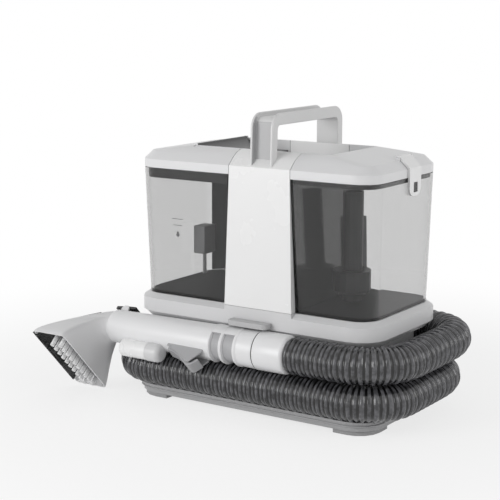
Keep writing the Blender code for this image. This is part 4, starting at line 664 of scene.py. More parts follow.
outer_line = arch(0, 0, OUTER_CORNER)
web_line = arch(HANDLE_LEG - HANDLE_WEB, BAR_CHANNEL, INNER_CORNER + HANDLE_WEB)
inner_line = arch(HANDLE_LEG, HANDLE_BAR, INNER_CORNER)
left, right = handle_low.x, handle_high.x
rings = []
for out, web, inside in zip(outer_line, web_line, inner_line):
    section = ((left, out), (left + HANDLE_FLANGE, out), (left + HANDLE_FLANGE, web),
               (right - HANDLE_FLANGE, web), (right - HANDLE_FLANGE, out), (right, out),
               (right, inside), (left, inside))
    rings.append([Vector((x, *point)) for x, point in section])
handle = skin("carry_handle", rings)
bpy.ops.mesh.edge_face_add()
pick(handle, "edges", lambda m, e: e.is_boundary)
bpy.ops.mesh.edge_face_add()
done(handle)
rounded(handle, 0.9 * MM, angle=40)

# %% [markdown]
# The web at the bottom of the front leg's channel is painted a duller grey, as painted shade. It
# could be a piece of its own, but the real handle is one moulding, so only its faces take the
# shade.

# %% The handle's finish and its painted shade
handle.data.materials.append(handle_abs)
handle.data.materials.append(web_shade_abs)
front_web = handle_low.y + HANDLE_LEAN + HANDLE_LEG - HANDLE_WEB
half_gap = (right - left) / 2 - 0.9 * HANDLE_FLANGE
web_shade_faces = [face for face in handle.data.polygons
             if abs(face.center.x - (left + right) / 2) < half_gap
             and face.center.y < front_web + 0.5 * MM]
for face in web_shade_faces:
    face.material_index = 1
print("faces of the web:", len(web_shade_faces))
settle(handle, "machine", "handle")


# %% [markdown]
# ## Lid latch
# The latch is a strap that is hinged on the lid and hangs over the tank's rim. Its lower end is
# round. The solid has the strap's slot and bend already, so its two lower corners are rounded in
# the copy, with a wide bevel, before the other edges are softened.

# %% Latch
LATCH_CORNER = 9 * MM
latch = moulding("lid_latch", "lid_latch", 0)
latch_low, latch_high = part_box("lid_latch")
take(latch, edit=True)
corners = pick(latch, "edges", lambda m, e: m.z < latch_low.z + 0.2 * MM
               and min(abs(m.y - latch_low.y), abs(m.y - latch_high.y)) < 0.1 * MM)
bpy.ops.mesh.bevel(offset=LATCH_CORNER, segments=8)
done(latch)
rounded(latch, 0.7 * MM)
latch.data.materials.append(satin_abs)
print("latch corners:", corners)


# %% [markdown]
# ## Tanks
# A tank is a rounded box that narrows downwards so that it lifts out easily. The solid's walls are
# too coarse for clear plastic, where every facet would show. So a cube is given its two outer
# corners with a wide bevel, its foot is drawn in, its top is removed, and Solidify gives the wall
# its thickness. The floor is tinted darker, as a thick floor looks.

# %% Two clear tanks
TANK_CORNER = 24 * MM
CORNER_SEGMENTS = 12
FLOOR_DEPTH = 3.6 * MM


def end_ring(name, lowest):
    """The lowest and highest corner of a solid's bottom or top ring of points."""
    points = np.array([v.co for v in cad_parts[name].data.vertices])
    level = points[:, 2].min() if lowest else points[:, 2].max()
    ring = points[abs(points[:, 2] - level) < 0.01 * MM]
    return ring.min(0), ring.max(0)


def tank(name, side):
    """A clear tank whose rounded corners are at its left, side -1, or its right, side 1."""
    top_low, top_high = end_ring(name, False)
    foot_low, foot_high = end_ring(name, True)
    size = [top_high[0] - top_low[0], top_high[1] - top_low[1], top_low[2] - foot_low[2]]
    middle = [(top_low[0] + top_high[0]) / 2, 0, (top_low[2] + foot_low[2]) / 2]
    piece = primitive(f"{name}_shell", "cube", size=1, location=middle, scale=size)
    placed(piece)
    take(piece, edit=True)
    outer = top_low[0] if side < 0 else top_high[0]
    pick(piece, "edges", lambda m, e: abs(m.x - outer) < 0.1 * MM
         and abs(m.z - middle[2]) < 0.1 * MM)
    bpy.ops.mesh.bevel(offset=TANK_CORNER, segments=CORNER_SEGMENTS)
    factor = [(foot_high[i] - foot_low[i]) / (top_high[i] - top_low[i]) for i in (0, 1)]
    fixed = (foot_low[0] - factor[0] * top_low[0]) / (1 - factor[0])
    pick(piece, "verts", lambda m, v: m.z < middle[2])
    bpy.ops.transform.resize(value=(*factor, 1), center_override=(fixed, 0, 0))
    pick(piece, "faces", lambda m, f: f.normal.z > 0.9)
    bpy.ops.mesh.delete(type="ONLY_FACE")
    done(piece)
    modify(piece, "SOLIDIFY", thickness=TANK_WALL, offset=-1, use_even_offset=True)
    rounded(piece, 0.5 * MM, 2)
    piece.data.materials.append(smoke)
    piece.data.materials.append(tank_floor)
    for face in piece.data.polygons:
        if face.center.z < foot_low[2] + FLOOR_DEPTH and abs(face.normal.z) > 0.8:
            face.material_index = 1
    return settle(piece, name, name)


for name, side in (("clean_tank", -1), ("dirty_tank", 1)):
    tank(name, side)


# %% [markdown]
# ## Turned shapes
# Round parts could start from cylinders, one for each step of their profile. Spinning is closer to
# how they look on a drawing: a ring of points is laid out as the part's half section and turned
# about the axis, so every step and radius is one list of points.

# %% Lathe
LATHE_WELD = 2e-6


def lathe(name, section, steps):
    """Spin a closed half section of (along, radius) points about the x axis."""
    piece = outlined(name, [(along, 0, radius) for along, radius in section])
    bpy.ops.mesh.spin(steps=steps, angle=math.tau, center=(0, 0, 0), axis=(1, 0, 0))
    bpy.ops.mesh.select_all(action="SELECT")
    bpy.ops.mesh.remove_doubles(threshold=LATHE_WELD)
    return done(piece)


print("lathe welds its seam within", LATHE_WELD / MM, "mm")

# %% [markdown]
# ## The wand
# The wand is a tube that lies along the machine's front, rolled 47 degrees so that its nozzle faces
# down and forwards. Modelled in that place, each of its lines would lie at an angle. So everything
# on it is modelled about its own axis, x along the tube and z away from the carpet, and one matrix
# then puts it in place.

# %% The wand's axis
WAND_ROLL = -47
collar_low, collar_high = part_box("hose_collar")
barrel_low, barrel_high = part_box("wand_body")
grip_low, grip_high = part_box("wand_grip")
WAND_AXIS = Vector((0, (collar_low.y + collar_high.y) / 2, (collar_low.z + collar_high.z) / 2))
ON_WAND = Matrix.Translation(WAND_AXIS) @ Matrix.Rotation(math.radians(WAND_ROLL), 4, "X")


def fit(piece, material, body, *solids, matrix=ON_WAND):
    """Put a piece in its place on the wand, give it its finish and let it ride."""
    placed(piece, matrix)
    piece.data.materials.append(material)
    return settle(piece, body, *solids)


print("wand axis at y, z", round(WAND_AXIS.y, 4), round(WAND_AXIS.z, 4))

# %% [markdown]
# The tube's front end has a rounded sleeve round the nozzle's spigot. The collar joins the tube to
# the hose, and a thin black ring between them paints the joint's shadow. All three are spun.

# %% Wand tube, collar and seam
WAND_SIDES = 72
WAND_BORE = 12.5 * MM
SOCKET_RADIUS = 13.9 * MM
SOCKET_DEPTH = 17.5 * MM
TIP_RADIUS = 16.8 * MM
SLEEVE_RADIUS = 18.6 * MM
SLEEVE_LIP = 2.5 * MM
SLEEVE_SOFT = 4.5 * MM
GRIP_RADIUS = 20.0 * MM
GRIP_CORE = 17.2 * MM
COLLAR_RADIUS = 20.8 * MM
COLLAR_FRONT = 0.7 * MM
COLLAR_BACK = 4 * MM
SEAM_INSET = 0.5 * MM
SEAM_REACH = 0.3 * MM

tip = barrel_low.x
socket = [(tip + SOCKET_DEPTH, WAND_BORE), (tip + SOCKET_DEPTH, SOCKET_RADIUS),
          (tip, SOCKET_RADIUS), (tip, TIP_RADIUS + 0.6 * MM)]
nose = bow((tip - SLEEVE_LIP + SLEEVE_SOFT, SLEEVE_RADIUS - SLEEVE_SOFT), SLEEVE_SOFT, 165, 92, 8)
core = [(grip_low.x, GRIP_RADIUS - 0.2 * MM), (grip_low.x, GRIP_CORE),
        (barrel_high.x, GRIP_CORE), (barrel_high.x, WAND_BORE)]
barrel = lathe("wand_barrel", socket + nose + core, WAND_SIDES)
fit(barrel, barrel_abs, "machine", "wand_body")

front_edge = bow((collar_low.x + COLLAR_FRONT, COLLAR_RADIUS - COLLAR_FRONT), COLLAR_FRONT,
                 180, 90, 3)
back_edge = bow((collar_high.x - COLLAR_BACK, COLLAR_RADIUS - COLLAR_BACK), COLLAR_BACK, 90, 20, 6)
collar = lathe("collar_ring", [(collar_low.x, WAND_BORE)] + front_edge + back_edge
               + [(collar_high.x, GRIP_CORE), (collar_high.x, WAND_BORE)], WAND_SIDES)
fit(collar, barrel_abs, "machine", "hose_collar")

seam_x = (grip_high.x - SEAM_REACH, collar_low.x + SEAM_REACH)
seam_r = (GRIP_CORE + 0.4 * MM, COLLAR_RADIUS - SEAM_INSET)
seam = lathe("collar_seam", [(seam_x[0], seam_r[0]), (seam_x[0], seam_r[1]),
                             (seam_x[1], seam_r[1]), (seam_x[1], seam_r[0])], WAND_SIDES)
fit(seam, joint_shadow_paint, "machine")


# %% [markdown]
# The grip has two sunk panels between raised ribs, on the side that fingers meet. A boolean could
# cut them, but it leaves long thin faces that shade badly on a round part. Instead, rings of faces
# are laid where the panels start and end. The list below holds them in mm along the grip.

# %% The grip's rings
PANELS = ((1.6, 13.6), (17.0, 31.4))
RIB_FOOT, RIB_CREST = 1.6, 0.8
LAST_RIB = (1.0, 2.6, 4.2)
RIB_HEIGHT = 0.9 * MM
GRIP_SIDES = 96
RIB_TOP = GRIP_RADIUS + RIB_HEIGHT
PANEL_EDGE = GRIP_RADIUS + RIB_HEIGHT / 2
RIM_RADIUS = GRIP_CORE + 0.3 * MM


def hoop(x, radius):
    """A ring about the wand's axis, from the front upwards, in the machine's own directions."""
    turns = [math.tau * i / GRIP_SIDES for i in range(GRIP_SIDES)]
    return [Vector((x, WAND_AXIS.y - radius * math.cos(t), WAND_AXIS.z + radius * math.sin(t)))
            for t in turns]


profile = []
for first, last in PANELS:
    profile += [(first - RIB_FOOT, GRIP_RADIUS), (first - RIB_CREST, RIB_TOP),
                (first, PANEL_EDGE), (last, PANEL_EDGE)]
for beyond, radius in zip(LAST_RIB, (RIB_TOP, RIB_TOP, GRIP_RADIUS)):
    profile.append((last + beyond, radius))
rings = [hoop(grip_low.x, RIM_RADIUS)]
rings += [hoop(grip_low.x + along * MM, radius) for along, radius in profile]
rings += [hoop(grip_high.x - 0.8 * MM, GRIP_RADIUS + 0.4 * MM),
          hoop(grip_high.x, GRIP_RADIUS - 0.2 * MM), hoop(grip_high.x, RIM_RADIUS)]
grip = skin("grip_sleeve", rings)
bpy.ops.mesh.select_all(action="SELECT")
bpy.ops.mesh.normals_make_consistent(inside=False)
print("rings along the grip:", len(rings))

# %% [markdown]
# Each panel's faces are found by how far round the tube they lie. Inset with a negative depth
# pushes them in and leaves a wall round them in one step.

# %% Sinking the panels
PANEL_TOP = 48
PANEL_BOTTOM = -100
PANEL_DEPTH = 2.6 * MM
PANEL_WALL = 0.7 * MM


def turn_of(point):
    """How far round the tube a point is, in degrees up from the front."""
    return math.degrees(math.atan2(point.z - WAND_AXIS.z, WAND_AXIS.y - point.y))


for first, last in PANELS:
    middle = grip_low.x + (first + last) / 2 * MM
    found = pick(grip, "faces", lambda m, f: abs(m.x - middle) < 1 * MM
                 and PANEL_BOTTOM < turn_of(m) < PANEL_TOP)
    bpy.ops.mesh.inset(thickness=PANEL_WALL, depth=-PANEL_DEPTH)
    print("panel from", first, "to", last, "mm, faces:", found)
done(grip, 25, recalculate=False)
grip.data.materials.append(barrel_abs)
grip.data.materials.append(grip_abs)
for face in grip.data.polygons:
    reach = math.hypot(face.center.y - WAND_AXIS.y, face.center.z - WAND_AXIS.z)
    sunk = reach < GRIP_RADIUS - 0.8 * MM and abs(face.normal.x) < 0.3
    if sunk and grip_low.x + 2 * MM < face.center.x < grip_high.x - 2 * MM:
        face.material_index = 1
settle(grip, "machine", "wand_grip")


# %% [markdown]
# ## Spray valve
# A small valve body hangs under the tube, closed by a round-nosed screw cap. Both are turned parts,
# so both are spun, and their matrix also lowers them to their own axis beside the tube.

# %% Valve and cap
VALVE_SIDES = 48
VALVE_DROP = 25 * MM
VALVE_RADIUS = 10 * MM
CAP_RADIUS = VALVE_RADIUS + 0.6 * MM
EDGE = 0.5 * MM
NOSE = 0.35 * VALVE_RADIUS
CAP_NOSE = 0.55 * CAP_RADIUS
valve_low, valve_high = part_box("spray_valve")
cap_low, cap_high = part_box("spray_valve_cap")
valve = lathe("valve_body", [(valve_low.x, 0)]
              + bow((valve_low.x + NOSE, VALVE_RADIUS - NOSE), NOSE, 180, 90, 5)
              + [(valve_high.x - EDGE, VALVE_RADIUS), (valve_high.x, VALVE_RADIUS - EDGE),
                 (valve_high.x, 0)], VALVE_SIDES)
cap = lathe("valve_cap", [(cap_low.x, 0), (cap_low.x, CAP_RADIUS - EDGE),
                          (cap_low.x + EDGE, CAP_RADIUS)]
            + bow((cap_high.x - CAP_NOSE, CAP_RADIUS - CAP_NOSE), CAP_NOSE, 90, 0, 8)
            + [(cap_high.x, 0)], VALVE_SIDES)
UNDER_TUBE = ON_WAND @ Matrix.Translation((0, 0, -VALVE_DROP))
fit(valve, satin_abs, "machine", "spray_valve", matrix=UNDER_TUBE)
fit(cap, pale_abs, "machine", "spray_valve_cap", matrix=UNDER_TUBE)

# %% [markdown]
# ## Flat parts cut from a drawing
# The ears of the nozzle's latch, the trigger and the trigger's cheeks are flat parts. They could be
# shaped from a cube, but each is really cut from a drawing. An outline in millimetres, along the
# tube and down from its axis, is filled and drawn out sideways, and its edges are rounded.

# %% Cutting out
CUT_EDGE = 0.5 * MM


def cut_out(name, outline, near, far):
    """An outline on the wand's side, drawn out from one side to the other, all in mm."""
    corners = [(x * MM, near * MM, -drop * MM) for x, drop in outline]
    piece = outlined(name, corners, "NGON")
    bpy.ops.mesh.extrude_region_move(
        TRANSFORM_OT_translate={"value": (0, (far - near) * MM, 0)})
    done(piece, 35)
    return rounded(piece, CUT_EDGE)


print("edges of cut parts are rounded by", CUT_EDGE / MM, "mm")

# %% [markdown]
# The latch on the nozzle's neck tilts between two small ears on the tube. The latch itself is the
# copy of its solid, lifted a little so that it stays clear of the tube's sleeve when it is pressed.

# %% Latch ears
EAR = ((-169.3, -14), (-169.3, -20.5), (-166.8, -23.2), (-162.2, -23.2), (-159.7, -20.5),
       (-159.7, -14))
EAR_SIDES = (6.5, 8.7)
LATCH_LIFT = 1.3 * MM
for side, where in ((-1, "near"), (1, "far")):
    ear = cut_out(f"latch_ear_{where}", EAR, *(side * reach for reach in EAR_SIDES))
    fit(ear, barrel_abs, "machine")
lift = ON_WAND.to_3x3() @ Vector((0, 0, LATCH_LIFT))
shells["nozzle_latch"].data.transform(Matrix.Translation(lift))
print("the nozzle's latch is lifted by", LATCH_LIFT / MM, "mm")

# %% [markdown]
# The trigger is a bent plate that hangs between two fixed cheeks, on a pin through them. Its
# outline gives the plate its bend and its thickness at once, so no second step is needed.

# %% Trigger and cheeks
CHEEK = ((-84, 14), (-84, 19), (-78, 21.2), (-68, 25), (-59, 30), (-52, 34), (-48, 34),
         (-37.5, 20), (-37.5, 14))
PLATE = ((-83, 22.6), (-75, 24), (-66, 27.6), (-58, 32.6), (-51.5, 36.8), (-47.5, 37.2),
         (-44.5, 35.6), (-38.5, 28.6), (-40.6, 27.2), (-46.4, 33.4), (-50, 33.2), (-56, 29.2),
         (-65, 24), (-74, 20.6), (-83, 19.8))
CHEEK_SIDES = (8.1, 10.3)
PLATE_HALF = 7.5
for side, where in ((-1, "upper"), (1, "lower")):
    cheek = cut_out(f"trigger_cheek_{where}", CHEEK, *(side * reach for reach in CHEEK_SIDES))
    fit(cheek, trigger_abs, "machine")
plate = cut_out("trigger_plate", PLATE, -PLATE_HALF, PLATE_HALF)
fit(plate, trigger_abs, "trigger", "trigger")


# %% [markdown]
# ## The nozzle
# The nozzle fans out from the tube's circle to a wide slot. A cone pulled into shape would bulge or
# pinch on the way. Here every line of the hood is a Bezier curve from a point of the circle to a
# point of the slot's rounded rectangle, a superellipse, so the surface leaves the neck and meets
# the rim in set directions. Rings across these lines are then drawn out into the hood.

# %% The hood's lines
NOZZLE_NECK = -170.3 * MM
SPIGOT_RADIUS = 13.6 * MM
SPIGOT_LENGTH = 17 * MM
MOUTH_X = -207.5 * MM
MOUTH_DEPTH = 53 * MM
MOUTH_HALF = (22.8 * MM, 53 * MM)
MOUTH_POWER = 14
NECK_LEAD = 12 * MM
MOUTH_LEAD = 10 * MM
HOOD_SIDES = 144
HOOD_RINGS = 22


def turn_at(index):
    """The turn of one of the hood's lines. The turns are evenly spaced."""
    return math.tau * (index + 0.5) / HOOD_SIDES


def hood_point(turn, s):
    """A point of the hood, at a share s of its line from the neck's circle to the mouth's rim."""
    neck = Vector((NOZZLE_NECK, TIP_RADIUS * math.sin(turn), TIP_RADIUS * math.cos(turn)))
    along = math.copysign(abs(math.cos(turn)) ** (2 / MOUTH_POWER), math.cos(turn))
    across = math.copysign(abs(math.sin(turn)) ** (2 / MOUTH_POWER), math.sin(turn))
    mouth = Vector((MOUTH_X - along * MOUTH_HALF[0], across * MOUTH_HALF[1], -MOUTH_DEPTH))
    leave = neck - Vector((NECK_LEAD, 0, 0))
    arrive = mouth + Vector((0, 0, MOUTH_LEAD))
    return (neck * (1 - s) ** 3 + leave * 3 * s * (1 - s) ** 2
            + arrive * 3 * s * s * (1 - s) + mouth * s ** 3)


turns = [turn_at(i) for i in range(HOOD_SIDES)]
rings = [[Vector((x, SPIGOT_RADIUS * math.sin(t), SPIGOT_RADIUS * math.cos(t))) for t in turns]
         for x in (NOZZLE_NECK + SPIGOT_LENGTH, NOZZLE_NECK)]
rings += [[hood_point(t, i / HOOD_RINGS) for t in turns] for i in range(HOOD_RINGS + 1)]
hood = skin("nozzle_shell", rings)
print("the mouth is", round(2 * MOUTH_HALF[1] / MM), "mm wide")

# %% [markdown]
# The hood's far face carries a dark clear window. The opening for it is made before the hood has a
# thickness, by deleting the faces in its place. Solidify then gives hood and opening their wall.

# %% The window's opening
HOOD_WALL = 2.2 * MM
WINDOW_TURNS = HOOD_SIDES // 16
WINDOW_ROW = HOOD_RINGS * 2 // 7
opening = set()
for row in range(WINDOW_ROW, HOOD_RINGS):
    for turn in range(-WINDOW_TURNS, WINDOW_TURNS - 1):
        cell = [hood_point(turn_at(turn + k), (row + j) / HOOD_RINGS)
                for j in (0, 1) for k in (0, 1)]
        opening.add(tuple(round(sum(c[i] for c in cell) / 4, 5) for i in range(3)))
found = pick(hood, "faces", lambda m, f: tuple(round(c, 5) for c in m) in opening)
bpy.ops.mesh.delete(type="FACE")
print("faces cut out for the window:", found, "of", len(opening))
done(hood)
modify(hood, "SOLIDIFY", thickness=HOOD_WALL, offset=-1, use_even_offset=False)
rounded(hood, 0.5 * MM, 2, angle=50)
fit(hood, nozzle_abs, "nozzle", "nozzle_head")
window = moulding("nozzle_window", "nozzle", 0.3 * MM)
window.data.materials.append(dark_smoke)


# %% [markdown]
# ## The brush
# A flat backing closes the mouth behind the bristles. A cut-out from a drawing would do as well,
# but a cube whose four upright edges get a wide bevel is quicker to change.

# %% Backing
BRUSH_TOP = -40 * MM
BACKING = (31 * MM, 86 * MM, 4 * MM)
BACKING_X = -203 * MM
BACKING_CORNER = 7 * MM

backing = primitive("brush_backing", "cube", size=1)
bpy.ops.transform.resize(value=BACKING)
bpy.ops.transform.translate(value=(BACKING_X, 0, BRUSH_TOP - BACKING[2] / 2))
pick(backing, "edges", lambda m, e: abs(abs(m.x - BACKING_X) - BACKING[0] / 2) < 0.01 * MM
     and abs(abs(m.y) - BACKING[1] / 2) < 0.01 * MM)
bpy.ops.mesh.bevel(offset=BACKING_CORNER, segments=6)
done(backing)
rounded(backing, 0.4 * MM, 2)
fit(backing, black_abs, "nozzle", "nozzle_brush")

# %% [markdown]
# The bristles are drawn nylon, set in tufts. Hair curves would have to be turned into mesh in the
# end, and seven faces for each strand are enough here. One strand is modelled and copied into a
# tuft along a seed head's spiral, which spaces strands evenly in a round bundle. Each copy leans
# out a little, and the tuft is then copied along two rows.

# %% Bristles
TUFT_ROWS = (-194.3 * MM, -206.0 * MM)
TUFTS = 10
TUFT_PITCH = 8.4 * MM
TUFT_RADIUS = 2.25 * MM
TUFT_SUNK = 0.5 * MM
STRANDS = 60
STRAND_SIDES = 5
STRAND_RADIUS = 0.36 * MM
STRAND_LENGTH = 16.5 * MM
SPLAY = 0.04
GOLDEN_TURN = math.pi * (3 - math.sqrt(5))


def repeated(piece, name, places):
    """Copy a piece to many places, each copy with its own mesh, and join the copies."""
    take()
    for matrix in places:
        copy = bpy.data.objects.new(name, piece.data.copy())
        copy.data.transform(matrix)
        bpy.context.scene.collection.objects.link(copy)
        copy.select_set(True)
    bpy.context.view_layer.objects.active = copy
    bpy.ops.object.join()
    bpy.data.objects.remove(piece)
    copy.name = copy.data.name = name
    return copy


strand = primitive("bristle_strand", "cone", vertices=STRAND_SIDES, radius1=STRAND_RADIUS * 0.7,
                   radius2=STRAND_RADIUS, depth=STRAND_LENGTH, end_fill_type="NGON",
                   calc_uvs=False)
done(strand, 180)
spots = []
for k in range(STRANDS):
    reach = TUFT_RADIUS * math.sqrt((k + 0.5) / STRANDS)
    out = Vector((math.cos(k * GOLDEN_TURN), math.sin(k * GOLDEN_TURN), 0)) * reach
    spot = Matrix.Translation(out * (1 + SPLAY / 2))
    spot[0][2], spot[1][2] = -out.x * SPLAY / STRAND_LENGTH, -out.y * SPLAY / STRAND_LENGTH
    spots.append(spot)
tuft = repeated(strand, "bristle_tuft", spots)
root = BRUSH_TOP - BACKING[2] - STRAND_LENGTH / 2 + TUFT_SUNK
spots = [Matrix.Translation((row, TUFT_PITCH * (k - (TUFTS - 1) / 2), root))
         for row in TUFT_ROWS for k in range(TUFTS)]
bristles = repeated(tuft, "bristle_tufts", spots)
fit(bristles, nylon, "nozzle")


# %% [markdown]
# ## The suction hose
# The hose is wound twice round the machine, held all the way: it runs back from the collar, climbs
# at the left end and comes round to the connector. A curve drawn by hand would wander, so its plan
# is laid out with straight runs and quarter turns, and then eased where these meet.

# %% Plan of the hose
HOSE_RADIUS = 20.0 * MM
END_GAP = 0.3 * MM
LOWER = {"half_length": 167 * MM, "front": 82 * MM, "back": 88 * MM, "bend": 40 * MM,
         "z": 36.3 * MM}
UPPER = {"half_length": 174 * MM, "front": 88 * MM, "back": 104 * MM, "bend": 48 * MM,
         "z": 77.5 * MM}
CLIMB = (-20 * MM, -45 * MM)
ENDS = (13 * MM, 62 * MM)


def corner(tier, x_side, y_side, first, last):
    """A quarter turn at one corner of a tier, as (x, y) points."""
    x = x_side * (tier["half_length"] - tier["bend"])
    y = tier["back"] - tier["bend"] if y_side > 0 else tier["bend"] - tier["front"]
    return bow((x, y), tier["bend"], first, last, 4)


plan = [(ENDS[0] + END_GAP, LOWER["back"])]
plan += corner(LOWER, 1, 1, 90, 0) + corner(LOWER, 1, -1, 0, -90)
plan += corner(LOWER, -1, -1, -90, -180)
climb_first = len(plan)
plan += [(-LOWER["half_length"], CLIMB[0])] + corner(UPPER, -1, 1, 180, 90)
climb_last = len(plan)
plan += [(CLIMB[1], UPPER["back"])]
plan += corner(UPPER, 1, 1, 90, 0) + corner(UPPER, 1, -1, 0, -90)
plan += [(ENDS[1] + END_GAP, -UPPER["front"])]
print("points in the plan:", len(plan))

# %% [markdown]
# The plan is spread into evenly spaced points, so that a rib gets the same room everywhere. The
# climb follows a smooth step, level at both its ends. A few rounds of averaging ease the bends, but
# leave the two ends straight where the hose enters the collar and the connector.

# %% Route of the hose
ROUTE_STEPS = 400
EASING_ROUNDS = 12
STRAIGHT_ENDS = 2.2 * HOSE_RADIUS
EASING_RAMP = 2 * HOSE_RADIUS


def evenly(points):
    """The same line with its points an equal length apart, and the length up to each old point."""
    along = np.concatenate([[0], np.cumsum(np.linalg.norm(np.diff(points, axis=0), axis=1))])
    steps = np.linspace(0, along[-1], ROUTE_STEPS)
    return np.stack([np.interp(steps, along, column) for column in points.T], axis=1), along


spread, along = evenly(np.array(plan))
steps = np.linspace(0, along[-1], ROUTE_STEPS)
climbed = np.clip((steps - along[climb_first]) / (along[climb_last] - along[climb_first]), 0, 1)
height = LOWER["z"] + (UPPER["z"] - LOWER["z"]) * climbed ** 2 * (3 - 2 * climbed)
route = np.column_stack([spread, height])
free = np.minimum(steps, along[-1] - steps) - STRAIGHT_ENDS
free = np.clip(free / EASING_RAMP, 0, 1)[1:-1, None]
for _ in range(EASING_ROUNDS):
    route[1:-1] += free * ((route[:-2] + 2 * route[1:-1] + route[2:]) / 4 - route[1:-1])
route, along = evenly(route)
print(f"the hose is {along[-1]:.3f} m long")

# %% [markdown]
# The hose's wall is a broad swell and a narrow one beside it, over and over. Drawn out along its
# whole length, it would take more than a thousand rings. So one rib is drawn out, Array strings 130
# of them into a straight hose, and Curve bends that along the route. Both are smoke-coloured PVC:
# glossy swells with painted highlight streaks, and valleys nearly black with painted shade.

# %% One rib
HOSE_RIBS = 130
HOSE_SIDES = 40
RIB = ((0.00, 17.6), (0.10, 18.5), (0.18, 19.7), (0.27, 20.0), (0.36, 19.7), (0.44, 18.5),
       (0.53, 17.6), (0.64, 18.5), (0.76, 19.2), (0.89, 18.5), (1.00, 17.6))
SWELL_FROM = 18.7 * MM
period = along[-1] / HOSE_RIBS


def ring_at(x, radius):
    """A ring of the straight hose."""
    turns = [math.tau * i / HOSE_SIDES for i in range(HOSE_SIDES)]
    return [Vector((x, radius * math.cos(t), radius * math.sin(t))) for t in turns]


hose = skin("suction_hose", [ring_at(share * period, radius * MM) for share, radius in RIB])
done(hose, 180)
# Painted highlight: the swells' tone swings far over a few mm to stand for glints on the ribs.
hose_ridge_glints = moulded("smoke PVC hose, ridge with painted glints", "#515154", 0.13, grain=1.6, depth=0.1, drift=0.6,
                     cloud=6.67)
# Painted shade: the valleys are near black to stand for the shade between the swells.
hose_valley_shade = moulded("smoke PVC hose, valley with painted shade", "#121213", 0.18, grain=1.6, depth=0.05)
hose.data.materials.append(hose_ridge_glints)
hose.data.materials.append(hose_valley_shade)
for face in hose.data.polygons:
    reach = math.hypot(face.center.y, face.center.z)
    face.material_index = 0 if reach > SWELL_FROM else 1
print(f"one rib is {period / MM:.1f} mm long")

# %% [markdown]
# The bent hose is still open at both ends. Each end's ring is picked, extruded and drawn in to the
# bore, which closes the rim of the wall and leaves the way through.

# %% The whole hose
HOSE_BORE = 13.5 * MM
modify(hose, "ARRAY", count=HOSE_RIBS, use_relative_offset=False, use_constant_offset=True,
       constant_offset_displace=(period, 0, 0), use_merge_vertices=True,
       merge_threshold=0.02 * MM)
guide = bpy.data.objects.new("hose_route", bpy.data.curves.new("hose_route", "CURVE"))
guide.data.dimensions = "3D"
line = guide.data.splines.new("POLY")
line.points.add(ROUTE_STEPS - 1)
for point, spot in zip(line.points, route):
    point.co = (*spot, 1)
bpy.context.scene.collection.objects.link(guide)
modify(hose, "CURVE", object=guide, deform_axis="POS_X")
bpy.data.objects.remove(guide)
take(hose, edit=True)
inwards = HOSE_BORE / (RIB[0][1] * MM)
for end in (0, -1):
    pick(hose, "edges", lambda m, e: e.is_boundary and (m - Vector(route[end])).length < 19 * MM)
    bpy.ops.mesh.extrude_region()
    bpy.ops.transform.resize(value=(inwards,) * 3, center_override=tuple(route[end]))
done(hose, 180)
settle(hose, "machine", "hose")
print("the hose reaches over", [round(v, 3) for v in hose.dimensions], "m")


# %% [markdown]
# ## Marks on the clean tank
# Two fill lines and a water drop are printed on the clean tank's front. A texture would need the
# wall unwrapped, and a finish that is clear in one place and grey in another. So the marks are
# flat shapes of their own, a twentieth of a millimetre off the wall.

# %% Fill lines and drop
PRINT_OFF = 0.05 * MM
LINE_THICKNESS = 0.6 * MM
FILL_LINES = ((0.205, 15 * MM), (0.198, 12 * MM))
MARKS_X = -0.0934
DROP_LEVEL = 0.1875
DROP_SIZE = 2.3 * MM
DROP_WAIST = 0.45
DROP_STRETCH = 0.75
top_low, _ = end_ring("clean_tank", False)
foot_low, _ = end_ring("clean_tank", True)


def stand_up(z):
    """Turn what is selected upright and put it on the clean tank's front wall at a height."""
    share = (z - foot_low[2]) / (top_low[2] - foot_low[2])
    front = foot_low[1] + (top_low[1] - foot_low[1]) * share - PRINT_OFF
    bpy.ops.transform.rotate(value=math.radians(90), orient_axis="X", center_override=(0, 0, 0))
    bpy.ops.transform.translate(value=(MARKS_X, front, z))


marks = primitive("level_marks", "plane", size=1)
bpy.ops.mesh.delete(type="VERT")
for level, width in FILL_LINES:
    bpy.ops.mesh.primitive_plane_add(size=1)
    bpy.ops.transform.resize(value=(width, LINE_THICKNESS, 1))
    stand_up(level)
bpy.ops.mesh.primitive_circle_add(vertices=40, radius=DROP_SIZE, fill_type="NGON")
stand_up(DROP_LEVEL)
bm = bmesh.from_edit_mesh(marks.data)
for vert in bm.verts:
    above = (vert.co.z - DROP_LEVEL) / DROP_SIZE
    if above > 0 and abs(vert.co.x - MARKS_X) <= DROP_SIZE * 1.01:
        vert.co.x = MARKS_X + (vert.co.x - MARKS_X) * (1 - DROP_WAIST * above)
        vert.co.z += DROP_SIZE * DROP_STRETCH * above ** 2
bmesh.update_edit_mesh(marks.data)
done(marks)
# Pad-printing ink lies in a thin film and looks flat and soft.
ink = moulded("grey pad-printing ink", "#5c5c5d", 0.5, grain=0.4, depth=0.005)
marks.data.materials.append(ink)
settle(marks, "clean_tank")


# %% [markdown]
# ## Finishes for the small parts
# What is left is small or mostly hidden: pins, screws, the motor and its fan, the pump, the float.
# Modelled again they would look the same, so their plain solids stay and only get the material of
# the real part.

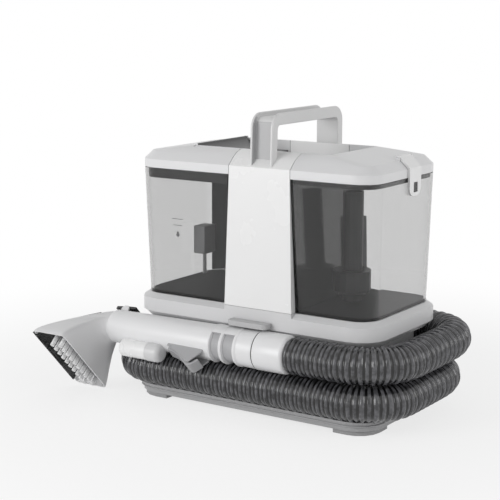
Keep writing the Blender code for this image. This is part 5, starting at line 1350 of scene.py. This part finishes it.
# %% Small parts
FINISHES = {
    steel: ("flap_pin", "latch_pin", "trigger_pin", "rear_screw_1", "rear_screw_2",
            "rear_screw_3", "rear_screw_4"),
    motor_steel: ("vacuum_motor",),
    board: ("control_board",),
    dark_abs: ("clean_valve", "fan_housing", "impeller", "pump", "power_button"),
    pale_abs: ("pickup_tube",),
    plate_abs: ("spray_jet",),
    dark_pipe: ("standpipe", "float"),
    rubber: ("clean_dock_seat", "dirty_dock_seal", "cord_inlet"),
}
for material, names in FINISHES.items():
    for name in names:
        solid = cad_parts[name].data
        solid.materials.clear()
        solid.materials.append(material)
    print(material.name, "on", len(names))

# %% [markdown]
# ## Which finish is which in the record
# Each piece is listed under the record's own name for its finish, and the count for each is
# printed.

# %% Record slots
SLOTS = {
    "mid_grey_plastic": ("base_plate_shell", "bottom_cover_shell", "lower_housing_shell",
                         "water_filter_shell", "hose_connector_shell"),
    "black_rubber": ("foot_front_left_shell", "foot_front_right_shell", "foot_back_left_shell",
                     "foot_back_right_shell", "clean_lid_seal_shell", "dirty_lid_seal_shell"),
    "light_grey_plastic": ("deck_shell", "wand_rest_shell", "trigger_plate", "grip_sleeve",
                           "nozzle_shell", "valve_cap"),
    "white_plastic": ("column_front_shell", "column_rear_shell", "carry_handle",
                      "clean_tank_lid_shell", "dirty_tank_lid_shell", "lid_latch_shell",
                      "wand_barrel", "collar_ring", "valve_body", "latch_ear_near",
                      "latch_ear_far", "trigger_cheek_upper", "trigger_cheek_lower"),
    "dark_grey_plastic": ("column_side_left_shell", "column_side_right_shell", "fill_flap_shell",
                          "latch_catch_shell", "clean_tank_liner_shell", "nozzle_latch_shell",
                          "level_marks"),
    "smoke_clear_plastic": ("clean_tank_shell", "dirty_tank_shell"),
    "dark_clear_plastic": ("inlet_duct_shell", "nozzle_window_shell"),
    "hose_plastic": ("suction_hose",),
    "nylon_bristle": ("bristle_tufts", "brush_backing"),
}
for slot, names in SLOTS.items():
    print(slot, "for", len(names))

# %% [markdown]
# ## Size of the frame
# The frame's overall box and the dressed machine's are printed. They should agree to within a
# millimetre or two.

# %% Finish
visual_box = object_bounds()
for title, box in (("frame box", cad_box), ("visual box", visual_box)):
    print(title, [[round(c, 4) for c in corner] for corner in box])
